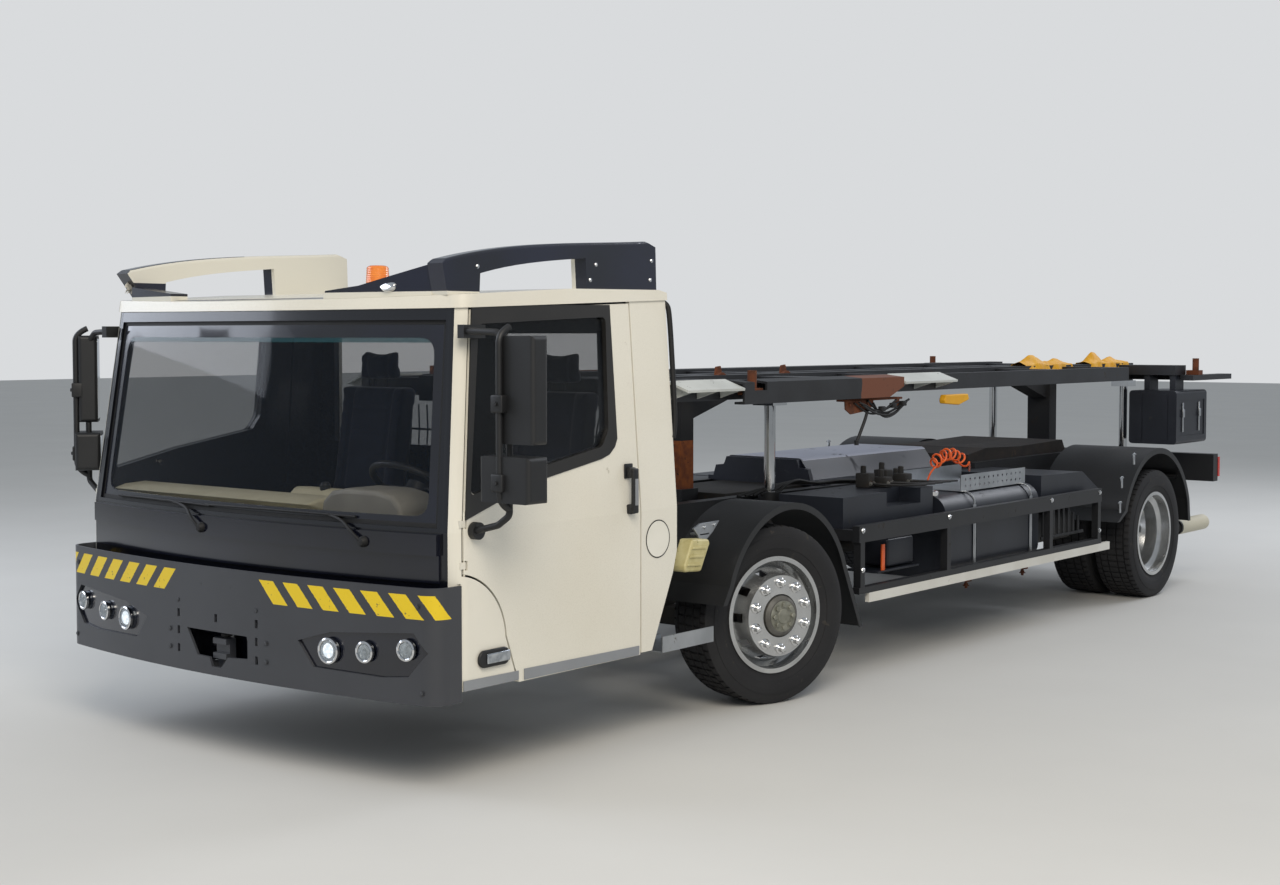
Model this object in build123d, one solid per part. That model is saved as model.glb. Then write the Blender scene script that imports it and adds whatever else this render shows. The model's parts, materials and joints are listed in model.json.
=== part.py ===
from build123d import *
import os
from math import atan2, cos, degrees, radians, sin, sqrt, tan

# Swap body truck with a low cab ahead of its front axle and a lift frame for swap bodies.
# Millimetres. X to the vehicle's left, Y rearwards, Z up from the ground.
# Every place along the truck is measured from the front axle, and save() moves the
# finished pieces so that the middle of the whole length lies at Y = 0.

# Running gear
WHEELBASE = 4713
TYRE_R = 455
TYRE_WIDTH = 286
TYRE_SHOULDER = 26
RIM_R = 298
RIM_SEAT_R = 284
RIM_WIDTH = 255
FRONT_TRACK_HALF = 1110
REAR_OUTER_TRACK_HALF = 1101
TWIN_SPACING = 331
KINGPIN_X = 930
KINGPIN_R = 24
PARKED_STEER = -16.0
HUB_BORE_R = 62
NUT_CIRCLE_R = 167.5
NUT_COUNT = 10
NUT_R = 16
NUT_HEIGHT = 26
VENT_COUNT = 10
WELL_R = 245
RIM_WALL = 9
DISC_PLATE = 12
DISC_OUTSET = TWIN_SPACING / 2 - DISC_PLATE - 0.15
HUB_SET_BACK = 30.3
AXLE_BEAM_DROP = 95
AXLE_BEAM_HALF_Y = 55
AXLE_BEAM_Z = 330
SPRING_X = 440
SPRING_HALF_LENGTH = 640
SPRING_WIDTH = 78
SPRING_DEPTH = 60
AXLE_TUBE_R = 72
DIFF_R = 205
KNUCKLE_HALF = 70
FRONT_FENDER_R = 565
REAR_FENDER_R = 612
FENDER_SHEET = 6

# Chassis
RAIL_X = 440
RAIL_WIDTH = 80
RAIL_OUT_X = RAIL_X + RAIL_WIDTH / 2
RAIL_PLATE = 10
RAIL_BOTTOM = 720
RAIL_TOP = 960
RAIL_REAR = WHEELBASE + 1237
NECK_Y = -700
CAB_RAIL_BOTTOM = 362
CAB_RAIL_TOP = 419.7
CAB_RAIL_FRONT = -2560
CROSS_PLACES = (-640, 1700, 2900, WHEELBASE - 813, RAIL_REAR - 50)
ENGINE_FRONT = 760
ENGINE_REAR = 1640
COVER_FRONT = 1550
COVER_REAR = 3090

# Cab
HALF_WIDTH = 1250
CAB_WALL = 58
CAB_FLOOR_BOTTOM = 420
CAB_FLOOR_TOP = 475
BELT_Z = 1070
CAB_REAR = -940
CAB_BACK_STEP = (868, 765)
CAB_BACK_SLOPE = 190
CAB_CORNER_Y = -2415
CAB_FRONT_BOW = 115
CAB_FRONT_LEAN = 122
CAB_CORNER_R = 75
ROOF_SIDE_X = 1178
ROOF_CORNER_Y = -2292
LOFT_TOP = 2110
ROOF_UNDER_FRONT = 1985
ROOF_UNDER_REAR = 2035
ROOF_CROWN_FRONT = 2040
ROOF_CROWN_REAR = 2082
ROOF_BRIM = 8
SCREEN_LOW = 1085
SCREEN_TOP = 1935
SCREEN_LOW_X = HALF_WIDTH - 100
SCREEN_TOP_X = ROOF_SIDE_X - 78
REAR_WINDOWS = ((-1050, -180), (180, 1050))
REAR_WINDOW_LOW = 1300
REAR_WINDOW_TOP = 1880
FASCIA_HALF = HALF_WIDTH - 82
FASCIA_LOW = 862
FASCIA_STEP = 975
FASCIA_TOP = 1062
FASCIA_PLATE = 8
FASCIA_LIP = 20
DOOR_FRONT = -2362
DOOR_REAR = -1215
DOOR_BOTTOM = 411
DOOR_GAP = 9
DOOR_THICK = 52
DOOR_CUT_TOP = 900
DOOR_CUT_MID = (DOOR_FRONT + 172, 805)
DOOR_CUT_LOW = (DOOR_FRONT + 252, 618)
DOOR_CUT_FOOT = DOOR_FRONT + 327
HINGE_INSET = 8
HINGE_PIN_R = 5
HINGE_HEIGHTS = (935, 1105)
WINDOW_POST = 45
WINDOW_FRONT_LOW = 1215
WINDOW_FRONT_TOP = 1920
WINDOW_REAR = -1385
WINDOW_REAR_TOP = 1955
WINDOW_REAR_LOW = 1376
WINDOW_DIP_Y = DOOR_FRONT + 432
WINDOW_DIP_Z = 1300
WINDOW_ROUND = 24
WINDOW_SHOULDER = 70
HANDLE_Y = -1290
HANDLE_HEIGHTS = (1076, 1264)
HANDLE_OUT = 36
MIRROR_Y = DOOR_FRONT + 42
MIRROR_TUBE_R = 14
MIRROR_TUBE_X = 1462
MIRROR_BEND = 34
FAR_ARM_SHORT = 80
FAR_MIRROR_TURN = 38
MIRROR_TOP_Z = 1890
MIRROR_FOOT_Z = 1075
MIRROR_FOOT_Y = DOOR_FRONT + 56
FIN_IN_X = 1022
FIN_OUT_X = 1110
FIN_EDGE_R = 14
NOSE_DEPTH = 90
BEACON_Y = -1650

# Inside the cab
DRIVER_X = 620
WHEEL_PLACE = (-2010, 1190)
WHEEL_TILT = -35
WHEEL_R = 215

# Bumper, lamps and towing jaw
BUMPER_FRONT = -2635
BUMPER_R = 7000
BUMPER_PLATE = 12
BUMPER_BOTTOM = 378
BUMPER_TOP = 856
BUMPER_SIDE_END = -2378
BUMPER_CORNER_R = 90
SLOT_X = 268
SLOT_HEIGHTS = (474, 555, 632)
LAMP_X = (699, 894, 1105)
LAMP_Z = (561, 574, 600)
LAMP_R = (52, 42, 42)
LAMP_PANEL = ((520, 588), (705, 640), (1138, 672), (1205, 593), (1112, 490), (977, 477), (607, 484))
LAMP_FLANGE = 14
TOW_HOLE = ((-205, 572), (205, 572), (211, 552), (211, 474), (80, 466), (34, 416), (-30, 416), (-46, 456),
            (-130, 458))

# Lift frame, shown near its highest place
LIFT_TOP = 1655
LIFT_STROKE = 350
LIFT_PLATE_DROP = 12
LIFT_BEAM_X = 560
LIFT_BEAM_WIDTH = 120
LIFT_BEAM_DEPTH = 135
LIFT_CROSS_DEPTH = 85
LIFT_EDGE_WIDTH = 60
LIFT_EDGE_DEPTH = 105
LIFT_SPINE_HALF = 60
LIFT_FRONT = -780
LIFT_REAR = WHEELBASE + 1007
LIFT_ARM_REAR = LIFT_REAR + 580
LIFT_ARM_HALF = 50
LIFT_ARM_TOP = 85
LIFT_ARM_LOW = 125
GUIDE_OUT_X = 1195
GUIDE_IN_X = 1070
GUIDE_DROP = 46
CYLINDER_X = 560
CYLINDER_FRONT_Y = 830
CYLINDER_REAR_Y = WHEELBASE + 967
ROD_R = 32
BARREL_R = 58
BARREL_TOP = 985
BARREL_BOTTOM = 470
BORE_CLEAR = 0.1
MAST_X = 186
MAST_Y = 120
MAST_FRONT_Y = 670
MAST_REAR_Y = WHEELBASE + 707
MAST_LOW = 560
GUIDE_LOW = 640
GUIDE_TOP = 985
GUIDE_CLEAR = 6
LOCK_X = 1129.5
LOCK_FRONT_Y = -160
LOCK_REAR_Y = LIFT_REAR - 27
SKIRT_FRONT = LOCK_FRONT_Y - 142
SKIRT_REAR = LOCK_FRONT_Y + 1414
GUIDE_SPANS = ((LIFT_FRONT, SKIRT_FRONT - 8), (SKIRT_REAR + 8, SKIRT_REAR + 606))
LIFT_CROSSES = ((LIFT_FRONT + 60, 110), (LOCK_FRONT_Y, 160), (MAST_FRONT_Y + 30, 200), (1500, 110),
                (MAST_REAR_Y - 1920, 110), (MAST_REAR_Y - 920, 110), (MAST_REAR_Y + 130, 200))
SIDE_BEAM_REAR = LIFT_REAR - 1120
REAR_BOX_X = (760, 1130)
REAR_BOX_Y = (LIFT_REAR - 390, LIFT_REAR + 200)
REAR_BOX_DROP = 600
REAR_BOX_HEIGHT = 400
HANGER_X = (840, 1040)

# Between and behind the axles
MUFFLER_LENGTH = 750
MUFFLER_REAR = WHEELBASE - 863
MUFFLER_FRONT = MUFFLER_REAR - MUFFLER_LENGTH
TANK_LENGTH = 1215
TANK_REAR = MUFFLER_FRONT - 115
TANK_FRONT = TANK_REAR - TANK_LENGTH
TANK_IN_X = 640
TANK_OUT_X = 1170
SIDE_FRONT = 690
SIDE_REAR = WHEELBASE - 933
SIDE_OUT_X = HALF_WIDTH - 6
SIDE_TUBE = 45
POST_HALF = 22
POST_PLACES = (SIDE_FRONT + 35, TANK_FRONT - 90, TANK_REAR + 35, SIDE_REAR - 35)
ARM_TOP = 815
TANK_LOW = 430
TANK_TOP = 922
TANK_ROUND = 110
TANK_BANDS = (TANK_FRONT + 398, TANK_REAR - 119)
BAND_HALF = 20
STRAP_PLATE = 3
BOX_FRONT = TANK_REAR + 75
BOX_REAR = WHEELBASE - 753
BOX_LOW = RAIL_BOTTOM + 25
VALVE_BOX_REAR = TANK_FRONT - 65
TRAY_FRONT = TANK_FRONT + 310
TRAY_REAR = TANK_REAR - 55
TRAY_OUT_X = 1100
STEP_FRONT = -1040
STEP_REAR = -640
STEP_Z = 399
DECK_FRONT = 3420
DECK_REAR = MAST_REAR_Y - 170
DECK_TOP = 1000
PIPE_R = 46
PIPE_LANE = (553, 592)
PIPE_TURN_Y = WHEELBASE + 697
TAIL_R = 58
TAIL_PLACE = (1100, 430)
TAIL_REAR = PIPE_TURN_Y + 530

FACE_GAP = 0.3

FRONT_END = BUMPER_FRONT
REAR_END = LIFT_ARM_REAR
MIDDLE = (FRONT_END + REAR_END) / 2

PARTS = {}


def block(x0, x1, y0, y1, z0, z1):
    """A box between two corners."""
    return Pos((x0 + x1) / 2, (y0 + y1) / 2, (z0 + z1) / 2) * Box(x1 - x0, y1 - y0, z1 - z0)


def side_prism(outline, x0, x1):
    """An outline of (y, z) points carried along X."""
    face = make_face(Polyline(*outline, close=True))
    return extrude(Plane.YZ.offset(x0) * face, amount=x1 - x0)


def front_prism(outline, y0, y1):
    """An outline of (x, z) points carried along Y."""
    face = make_face(Polyline(*outline, close=True))
    return Pos(0, y1, 0) * extrude(Plane.XZ * face, amount=y1 - y0)


def plan_prism(outline, z0, z1):
    """An outline of (x, y) points carried along Z."""
    face = make_face(Polyline(*outline, close=True))
    return Pos(0, 0, z0) * extrude(face, amount=z1 - z0)


def rod_x(radius, x0, x1, y, z):
    """A round bar along X."""
    return Pos((x0 + x1) / 2, y, z) * Rot(0, 90, 0) * Cylinder(radius, x1 - x0)


def rod_y(radius, x, y0, y1, z):
    """A round bar along Y."""
    return Pos(x, (y0 + y1) / 2, z) * Rot(90, 0, 0) * Cylinder(radius, y1 - y0)


def rod_z(radius, x, y, z0, z1):
    """A round bar along Z."""
    return Pos(x, y, (z0 + z1) / 2) * Cylinder(radius, z1 - z0)


def other_side(shape):
    """The same piece on the vehicle's right."""
    return mirror(shape, about=Plane.YZ)


def both(shape):
    """A piece and its mirror image as solids of one node."""
    return list(shape.solids()) + list(other_side(shape).solids())


def line_z(y, y0, z0, y1, z1):
    """Height of a straight side-view line at y."""
    return z0 + (z1 - z0) * (y - y0) / (y1 - y0)


def node(name, *shapes):
    """Keeps the solids of one named piece."""
    solids = []
    for shape in shapes:
        solids += list(shape) if isinstance(shape, list) else list(shape.solids())
    PARTS[name] = solids


# Wheels: each profile is drawn as (distance along the axle, radius) and turned about X.
def turned(profile, centre_x):
    """A wheel piece turned about the X axis at the wheel's own centre."""
    face = make_face(Polyline(*[(centre_x + a, r) for a, r in profile], close=True))
    return revolve(face, axis=Axis.X, revolution_arc=360)


def tyre(centre_x):
    """One tyre with its tread shoulders, sidewalls and bead seats."""
    half = TYRE_WIDTH / 2
    tread_half = half - TYRE_SHOULDER / 2
    mid_r = (TYRE_R + RIM_R) / 2
    bead_half = RIM_WIDTH / 2 - 12
    seat = RIM_SEAT_R + FACE_GAP
    profile = [
        (-bead_half, seat), (-bead_half, RIM_R + 14), (-half, mid_r), (-tread_half, TYRE_R - TYRE_SHOULDER),
        (-tread_half + TYRE_SHOULDER, TYRE_R), (tread_half - TYRE_SHOULDER, TYRE_R),
        (tread_half, TYRE_R - TYRE_SHOULDER), (half, mid_r), (bead_half, RIM_R + 14), (bead_half, seat),
    ]
    return turned(profile, centre_x)


def steel_rim():
    """One steel rim facing +X: its well and flanges, and the disc with its vents."""
    half = RIM_WIDTH / 2
    seat_in = RIM_SEAT_R - 4
    well_out = WELL_R - RIM_WALL
    barrel = turned([
        (-half, RIM_R), (-half + 11, RIM_R), (-half + 11, RIM_SEAT_R), (-half + 60, seat_in),
        (-half + 80, WELL_R), (half - 90, WELL_R), (half - 62, seat_in), (half - 11, RIM_SEAT_R),
        (half - 11, RIM_R), (half, RIM_R), (half, RIM_SEAT_R - RIM_WALL), (half - 62, seat_in - RIM_WALL),
        (half - 90, well_out), (-half + 80, well_out), (-half + 60, seat_in - RIM_WALL),
        (-half, RIM_SEAT_R - RIM_WALL),
    ], 0)
    inside = DISC_OUTSET
    outside = DISC_OUTSET + DISC_PLATE
    foot = half - 90
    disc = turned([
        (inside, HUB_BORE_R + 48), (outside, HUB_BORE_R + 48), (outside, 205), (foot + 16, well_out + 2),
        (foot, well_out + 2), (inside, 196),
    ], 0)
    step = 360 / VENT_COUNT
    vents = [Rot(step * (i + 0.5), 0, 0) * Pos(foot + 62, 0, 222) * Box(60, 46, 60)
             for i in range(VENT_COUNT)]
    return barrel + (disc - vents)


def wheel_nuts(face_x, outward):
    """The ring of nuts on a disc's face, standing out along X by their height."""
    step = 360 / NUT_COUNT
    middle = face_x + outward * (NUT_HEIGHT / 2 - 1)
    return [Rot(step * i, 0, 0) * Pos(middle, 0, NUT_CIRCLE_R) * Rot(0, 90, 0) * Cylinder(NUT_R, NUT_HEIGHT)
            for i in range(NUT_COUNT)]


def hub(x0, x1, radius):
    """The round hub end that shows in the middle of the disc, with its flange behind the disc."""
    flange = x0 + 30
    return turned([(x0, 0), (x0, radius + 60), (flange, radius + 60), (flange, radius), (x1 - 14, radius),
                   (x1, radius - 16), (x1, 0)], 0)


def build_wheels():
    """Front wheels stand at the parked steering angle, rear wheels are twins."""
    reach = FRONT_TRACK_HALF - KINGPIN_X
    inner = REAR_OUTER_TRACK_HALF - TWIN_SPACING
    plain_out = steel_rim()
    plain_in = other_side(plain_out)
    nut_face = DISC_OUTSET + DISC_PLATE
    front_out = plain_out + wheel_nuts(nut_face, 1)
    twin_out = plain_in + wheel_nuts(-DISC_OUTSET, 1)
    rear = Pos(0, WHEELBASE, TYRE_R)
    front_hub = hub(reach + DISC_OUTSET - HUB_SET_BACK, reach + DISC_OUTSET + 34, HUB_BORE_R + 40)
    rear_hub = hub(inner + DISC_OUTSET - HUB_SET_BACK, inner + DISC_OUTSET + 90, HUB_BORE_R + 44)
    for side, name in ((1, "left"), (-1, "right")):
        turn = Pos(side * KINGPIN_X, 0, TYRE_R) * Rot(0, 0, PARKED_STEER)
        node("tyre_front_" + name, turn * tyre(side * reach))
        front_rim = front_out if side > 0 else other_side(front_out)
        node("rim_front_" + name, turn * Pos(side * reach, 0, 0) * front_rim)
        node("hub_front_" + name, turn * (front_hub if side > 0 else other_side(front_hub)))
        node("tyres_rear_" + name, rear * tyre(side * REAR_OUTER_TRACK_HALF), rear * tyre(side * inner))
        outer_rim = Pos(REAR_OUTER_TRACK_HALF, 0, 0) * twin_out
        inner_rim = Pos(inner, 0, 0) * plain_out
        if side < 0:
            outer_rim = other_side(outer_rim)
            inner_rim = other_side(inner_rim)
        node("rims_rear_" + name, rear * outer_rim, rear * inner_rim)
        node("hub_rear_" + name, rear * (rear_hub if side > 0 else other_side(rear_hub)))


def leaf_spring(middle_y, low_z):
    """One bowed leaf pack, with its eyes under the rail's spring hangers."""
    eye_z = RAIL_BOTTOM - SPRING_DEPTH - 24
    half = SPRING_HALF_LENGTH
    outer = [(middle_y - half, eye_z), (middle_y, low_z), (middle_y + half, eye_z)]
    top = [(y, z + SPRING_DEPTH) for y, z in outer]
    lower_arc = ThreePointArc(*outer)
    upper_arc = ThreePointArc(*top)
    ends = [Line(outer[0], top[0]), Line(outer[2], top[2])]
    face = make_face([lower_arc, upper_arc] + ends)
    leaf = extrude(Plane.YZ.offset(SPRING_X - SPRING_WIDTH / 2) * face, amount=SPRING_WIDTH)
    hangers = [block(SPRING_X - 30, SPRING_X + 30, middle_y + s * half - 35, middle_y + s * half + 35,
                     eye_z + 20, RAIL_BOTTOM - FACE_GAP) for s in (-1, 1)]
    return leaf + hangers


def build_axles():
    """A forged front beam with fork ends, and a driven rear axle with its differential."""
    low = AXLE_BEAM_Z
    beam_end = KINGPIN_X - KNUCKLE_HALF - 8
    half = AXLE_BEAM_HALF_Y
    beam = front_prism([
        (-beam_end, low + 60), (-640, low + 60), (-560, low),
        (560, low), (640, low + 60), (beam_end, low + 60),
        (beam_end, low + 190), (640, low + 190), (560, low + AXLE_BEAM_DROP), (-560, low + AXLE_BEAM_DROP),
        (-640, low + 190), (-beam_end, low + 190),
    ], -half, half)
    boss_z0, boss_z1 = TYRE_R - 62, TYRE_R + 62
    bosses = [rod_z(46, s * KINGPIN_X, 0, boss_z0, boss_z1) for s in (1, -1)]
    webs = [block(min(s * beam_end, s * (KINGPIN_X - 20)), max(s * beam_end, s * (KINGPIN_X - 20)),
                  -40, 40, boss_z0, boss_z1) for s in (1, -1)]
    pins = [rod_z(KINGPIN_R + BORE_CLEAR, s * KINGPIN_X, 0, 0, 900) for s in (1, -1)]
    spring = leaf_spring(0, low + AXLE_BEAM_DROP + FACE_GAP)
    node("front_axle", beam + bosses + webs - pins, both(spring))
    inner = REAR_OUTER_TRACK_HALF - TWIN_SPACING
    tube_end = inner + DISC_OUTSET - HUB_SET_BACK - FACE_GAP
    tube = rod_x(AXLE_TUBE_R, -tube_end, tube_end, WHEELBASE, TYRE_R)
    ball = Pos(0, WHEELBASE - 20, TYRE_R) * Sphere(DIFF_R)
    nose = rod_y(85, 0, WHEELBASE - 330, WHEELBASE - 120, TYRE_R)
    seats = [block(s * SPRING_X - 50, s * SPRING_X + 50, WHEELBASE - 60, WHEELBASE + 60, TYRE_R,
                   TYRE_R + 120) for s in (1, -1)]
    spring = leaf_spring(WHEELBASE, TYRE_R + 120 + FACE_GAP)
    shaft = rod_y(42, 0, ENGINE_REAR + FACE_GAP, WHEELBASE - 320, TYRE_R + 20)
    node("rear_axle", tube + ball + nose + seats + shaft, both(spring))


def build_knuckles():
    """Steering knuckles: two ears on the kingpin and a stub axle out to the hub."""
    reach = FRONT_TRACK_HALF - KINGPIN_X
    stub_end = reach + DISC_OUTSET - HUB_SET_BACK - FACE_GAP
    for side, name in ((1, "left"), (-1, "right")):
        ears = [block(-KNUCKLE_HALF, KNUCKLE_HALF, -52, 52, z, z + 40) for z in (68, -108)]
        web = block(KNUCKLE_HALF - 12, KNUCKLE_HALF + 22, -52, 52, -108, 108)
        pin = rod_z(KINGPIN_R, 0, 0, -100, 100)
        stub = rod_x(40, KNUCKLE_HALF + 10, stub_end, 0, 0)
        arm = block(-30, 30, 40, 210, -100, -74)
        whole = ears[0] + ears[1] + web + pin + stub + arm
        whole = whole if side > 0 else other_side(whole)
        node("knuckle_" + name, Pos(side * KINGPIN_X, 0, TYRE_R) * Rot(0, 0, PARKED_STEER) * whole)


def build_frame():
    """Two channel rails that drop under the cab, cross members and the mast guides."""
    outer = RAIL_OUT_X
    rail_line = [
        (NECK_Y, RAIL_BOTTOM), (RAIL_REAR, RAIL_BOTTOM), (RAIL_REAR, RAIL_TOP), (NECK_Y - 120, RAIL_TOP),
        (NECK_Y - 120, CAB_RAIL_TOP), (CAB_RAIL_FRONT, CAB_RAIL_TOP), (CAB_RAIL_FRONT, CAB_RAIL_BOTTOM),
        (NECK_Y, CAB_RAIL_BOTTOM),
    ]
    pocket_line = [
        (NECK_Y + 60, RAIL_BOTTOM + RAIL_PLATE), (RAIL_REAR + 1, RAIL_BOTTOM + RAIL_PLATE),
        (RAIL_REAR + 1, RAIL_TOP - RAIL_PLATE), (NECK_Y + 60, RAIL_TOP - RAIL_PLATE),
    ]
    rail = side_prism(rail_line, outer - RAIL_WIDTH, outer)
    rail -= side_prism(pocket_line, outer - RAIL_WIDTH - 1, outer - RAIL_PLATE)
    inner = outer - RAIL_PLATE + 1
    low_inner = outer - RAIL_WIDTH + 1
    crosses = []
    for y in CROSS_PLACES:
        crosses.append(block(-inner, inner, y - 45, y + 45, RAIL_BOTTOM + 30, RAIL_TOP - 30))
    front = block(-low_inner, low_inner, CAB_RAIL_FRONT, CAB_RAIL_FRONT + 30, CAB_RAIL_BOTTOM, CAB_RAIL_TOP)
    mid = block(-low_inner, low_inner, -1300, -1220, CAB_RAIL_BOTTOM, CAB_RAIL_TOP)
    guides = []
    for y in (MAST_FRONT_Y, MAST_REAR_Y):
        clear_x = MAST_X / 2 + GUIDE_CLEAR
        clear_y = MAST_Y / 2 + GUIDE_CLEAR
        sleeve = block(-clear_x - 14, clear_x + 14, y - clear_y - 14, y + clear_y + 14, GUIDE_LOW, GUIDE_TOP)
        sleeve -= block(-clear_x, clear_x, y - clear_y, y + clear_y, GUIDE_LOW - 1, GUIDE_TOP + 1)
        tie = block(clear_x + 13, inner, y - 35, y + 35, RAIL_BOTTOM + 40, RAIL_TOP - 40)
        guides += [sleeve, tie, other_side(tie)]
    deck = block(-RAIL_OUT_X, RAIL_OUT_X, DECK_FRONT, DECK_REAR, RAIL_TOP + FACE_GAP, DECK_TOP)
    deck -= block(-RAIL_OUT_X + 5, RAIL_OUT_X - 5, DECK_FRONT + 5, DECK_REAR - 5, RAIL_TOP - 1, DECK_TOP - 6)
    node("chassis_frame", rail + other_side(rail) + crosses + front + mid + guides, deck)


def build_cylinders():
    """Four lift cylinders: barrels on the chassis, chromed rods under the lift frame."""
    stroke_room = BARREL_TOP - BARREL_BOTTOM
    barrels = []
    rods = []
    outer = RAIL_OUT_X
    for y in (CYLINDER_FRONT_Y, CYLINDER_REAR_Y):
        barrel = rod_z(BARREL_R, CYLINDER_X, y, BARREL_BOTTOM, BARREL_TOP)
        collar = rod_z(BARREL_R + 10, CYLINDER_X, y, BARREL_TOP - 55, BARREL_TOP)
        bore = rod_z(ROD_R + BORE_CLEAR, CYLINDER_X, y, BARREL_BOTTOM + 30, BARREL_TOP + 1)
        mount = block(outer + FACE_GAP, CYLINDER_X, y - 50, y + 50, RAIL_BOTTOM + 20, RAIL_TOP - 20)
        barrels += both(barrel + collar + mount - bore)
        rod_low = BARREL_BOTTOM + 30 + LIFT_STROKE + 15
        rod = rod_z(ROD_R, CYLINDER_X, y, rod_low, LIFT_TOP - LIFT_BEAM_DEPTH - 35)
        head = block(CYLINDER_X - 70, CYLINDER_X + 70, y - 70, y + 70, LIFT_TOP - LIFT_BEAM_DEPTH - 45,
                     LIFT_TOP - LIFT_BEAM_DEPTH - FACE_GAP)
        rods += both(rod + head)
    node("lift_cylinders", barrels)
    node("lift_rods", rods)


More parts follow.
